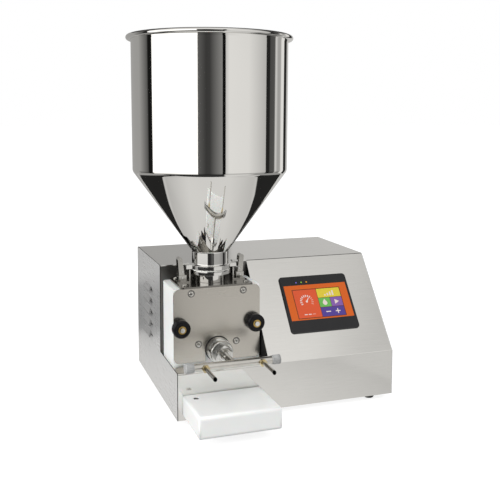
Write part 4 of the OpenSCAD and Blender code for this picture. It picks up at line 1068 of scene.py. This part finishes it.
    def ceiling(self, height):
        """Light in front, darker to the right, dark behind."""
        end = 4
        across = ((-end, 1), (height * 0.72, 1), (height * 0.86, 0.76), (end, 0.7))
        rows = [[(u, v, height, tone * level) for u, tone in across]
                for v, level in ((-end, 0.87), (-height * 0.42, 0.87), (-height * 0.2, 0.7),
                                 (-height * 0.04, 0.66), (height * 0.04, 0.08), (end, 0.05))]
        self.card("studio_ceiling", rows)

    def ring(self, s, barrel):
        """Upright cards, given by where their edges show across the barrel and by their tones."""
        edge_shares = (
            (-1, 0.4), (-0.9, 0.39), (-0.8, 0.12), (-0.785, 0.01), (-0.74, 0.01), (-0.735, 1.6),
            (-0.16, 1.6), (-0.155, 0.13), (-0.05, 0.05), (0, 0.055), (0.16, 0.27), (0.165, 0.005),
            (0.2, 0.005), (0.205, 0.65), (0.25, 0.87), (0.5, 0.85), (0.72, 0.56), (0.725, 0.02),
            (0.765, 0.02), (0.775, 0.08), (0.83, 0.1), (0.845, 0.75), (0.875, 0.42), (0.905, 0.45),
            (0.915, 0.85), (0.945, 0.9), (0.95, 0.02), (0.975, 0.02), (0.985, 0.58), (1, 0.56))
        camera = self.turned.inverted() @ Vector((s.place[0], s.place[1], 0))
        away, swing = camera.xy.length, math.atan2(camera.x, -camera.y)
        points = []
        for across_share, tone in edge_shares:
            tilt = math.atan(across_share * math.tan(math.asin(barrel / away)))
            facing = math.asin(max(-1, min(1, away * math.sin(tilt) / barrel)))
            start, aim = facing - tilt, 2 * facing - tilt
            foot = Vector((math.sin(start), -math.cos(start))) * barrel
            ray = Vector((math.sin(aim), -math.cos(aim)))
            reach = -foot.dot(ray) + math.sqrt(foot.dot(ray) ** 2 + s.ring ** 2 - barrel ** 2)
            spot = foot + ray * reach
            points.append((math.degrees(math.atan2(spot.x, -spot.y) + swing), tone))
        points[0], points[-1] = (-180, points[0][1]), (180, points[-1][1])
        widest, back = 3, 120
        turns = []
        for (a, va), (b, vb) in zip(points, points[1:]):
            parts = max(1, math.ceil((b - a) / widest))
            turns += [(a + (b - a) * k / parts, va + (vb - va) * k / parts) for k in range(parts)]
        rows = [[(s.ring * math.sin(math.radians(a)), -s.ring * math.cos(math.radians(a)), z,
                  tone * (level if abs(a) < back else 1)) for a, tone in turns + points[-1:]]
                for z, level in ((0.0, 0.5), (0.2, 0.6), (0.3, 1), (s.ring_height, 1))]
        self.card("studio_ring", rows)

    def lamps(self, s):
        """Soft lamps, seen by the plastics only: the ring lights the metal."""
        lamps = {"main_lamp": ((-1.6, -1.6, 2.2), 1.6, 1.0), "side_lamp": ((-2.2, -0.7, 0.9), 1.4, 0.9),
                 "fill_lamp": ((1.6, -2.0, 1.4), 1.8, 0.6), "top_lamp": ((0.2, 0.6, 2.6), 1.6, 0.5)}
        target = Vector((0, 0, 0.25))
        for name, (place, size, power_share) in lamps.items():
            data = bpy.data.lights.new(name, "AREA")
            data.shape = "DISK"
            data.size = size
            data.energy = power_share * s.lamp_power
            lamp = add_object(name, data)
            lamp.location = place
            lamp.rotation_mode = "QUATERNION"
            lamp.rotation_quaternion = (target - Vector(place)).to_track_quat("-Z", "Y")
            lamp.visible_glossy = False


OPERATORS = (FILLER_OT_stage, FILLER_OT_casing, FILLER_OT_touch_panel, FILLER_OT_pump_head, FILLER_OT_drive,
             FILLER_OT_knobs, FILLER_OT_hopper, FILLER_OT_latches, FILLER_OT_outlet, FILLER_OT_needles,
             FILLER_OT_rest_block, FILLER_OT_back_fittings)


class FILLER_PT_pieces(bpy.types.Panel):
    """Lists the settings and the operators that build the pieces"""
    bl_label = "Cake filling machine"
    bl_space_type = "VIEW_3D"
    bl_region_type = "UI"
    bl_category = "Filler"

    def draw(self, context):
        for group in GROUPS:
            column = self.layout.box().column()
            settings = getattr(context.scene, group)
            for name in settings.bl_rna.properties.keys():
                if name not in ("rna_type", "name"):
                    column.prop(settings, name)
        for operator in OPERATORS:
            self.layout.operator(operator.bl_idname)


CLASSES = (*GROUPS.values(), *OPERATORS, FILLER_PT_pieces)


def register():
    for cls in CLASSES:
        bpy.utils.register_class(cls)
    for name, group in GROUPS.items():
        setattr(bpy.types.Scene, name, bpy.props.PointerProperty(type=group))


def unregister():
    for name in GROUPS:
        delattr(bpy.types.Scene, name)
    for cls in reversed(CLASSES):
        bpy.utils.unregister_class(cls)


def main():
    register()
    for operator in OPERATORS:
        group, name = operator.bl_idname.split(".")
        getattr(getattr(bpy.ops, group), name)()


if __name__ == "__main__":
    main()
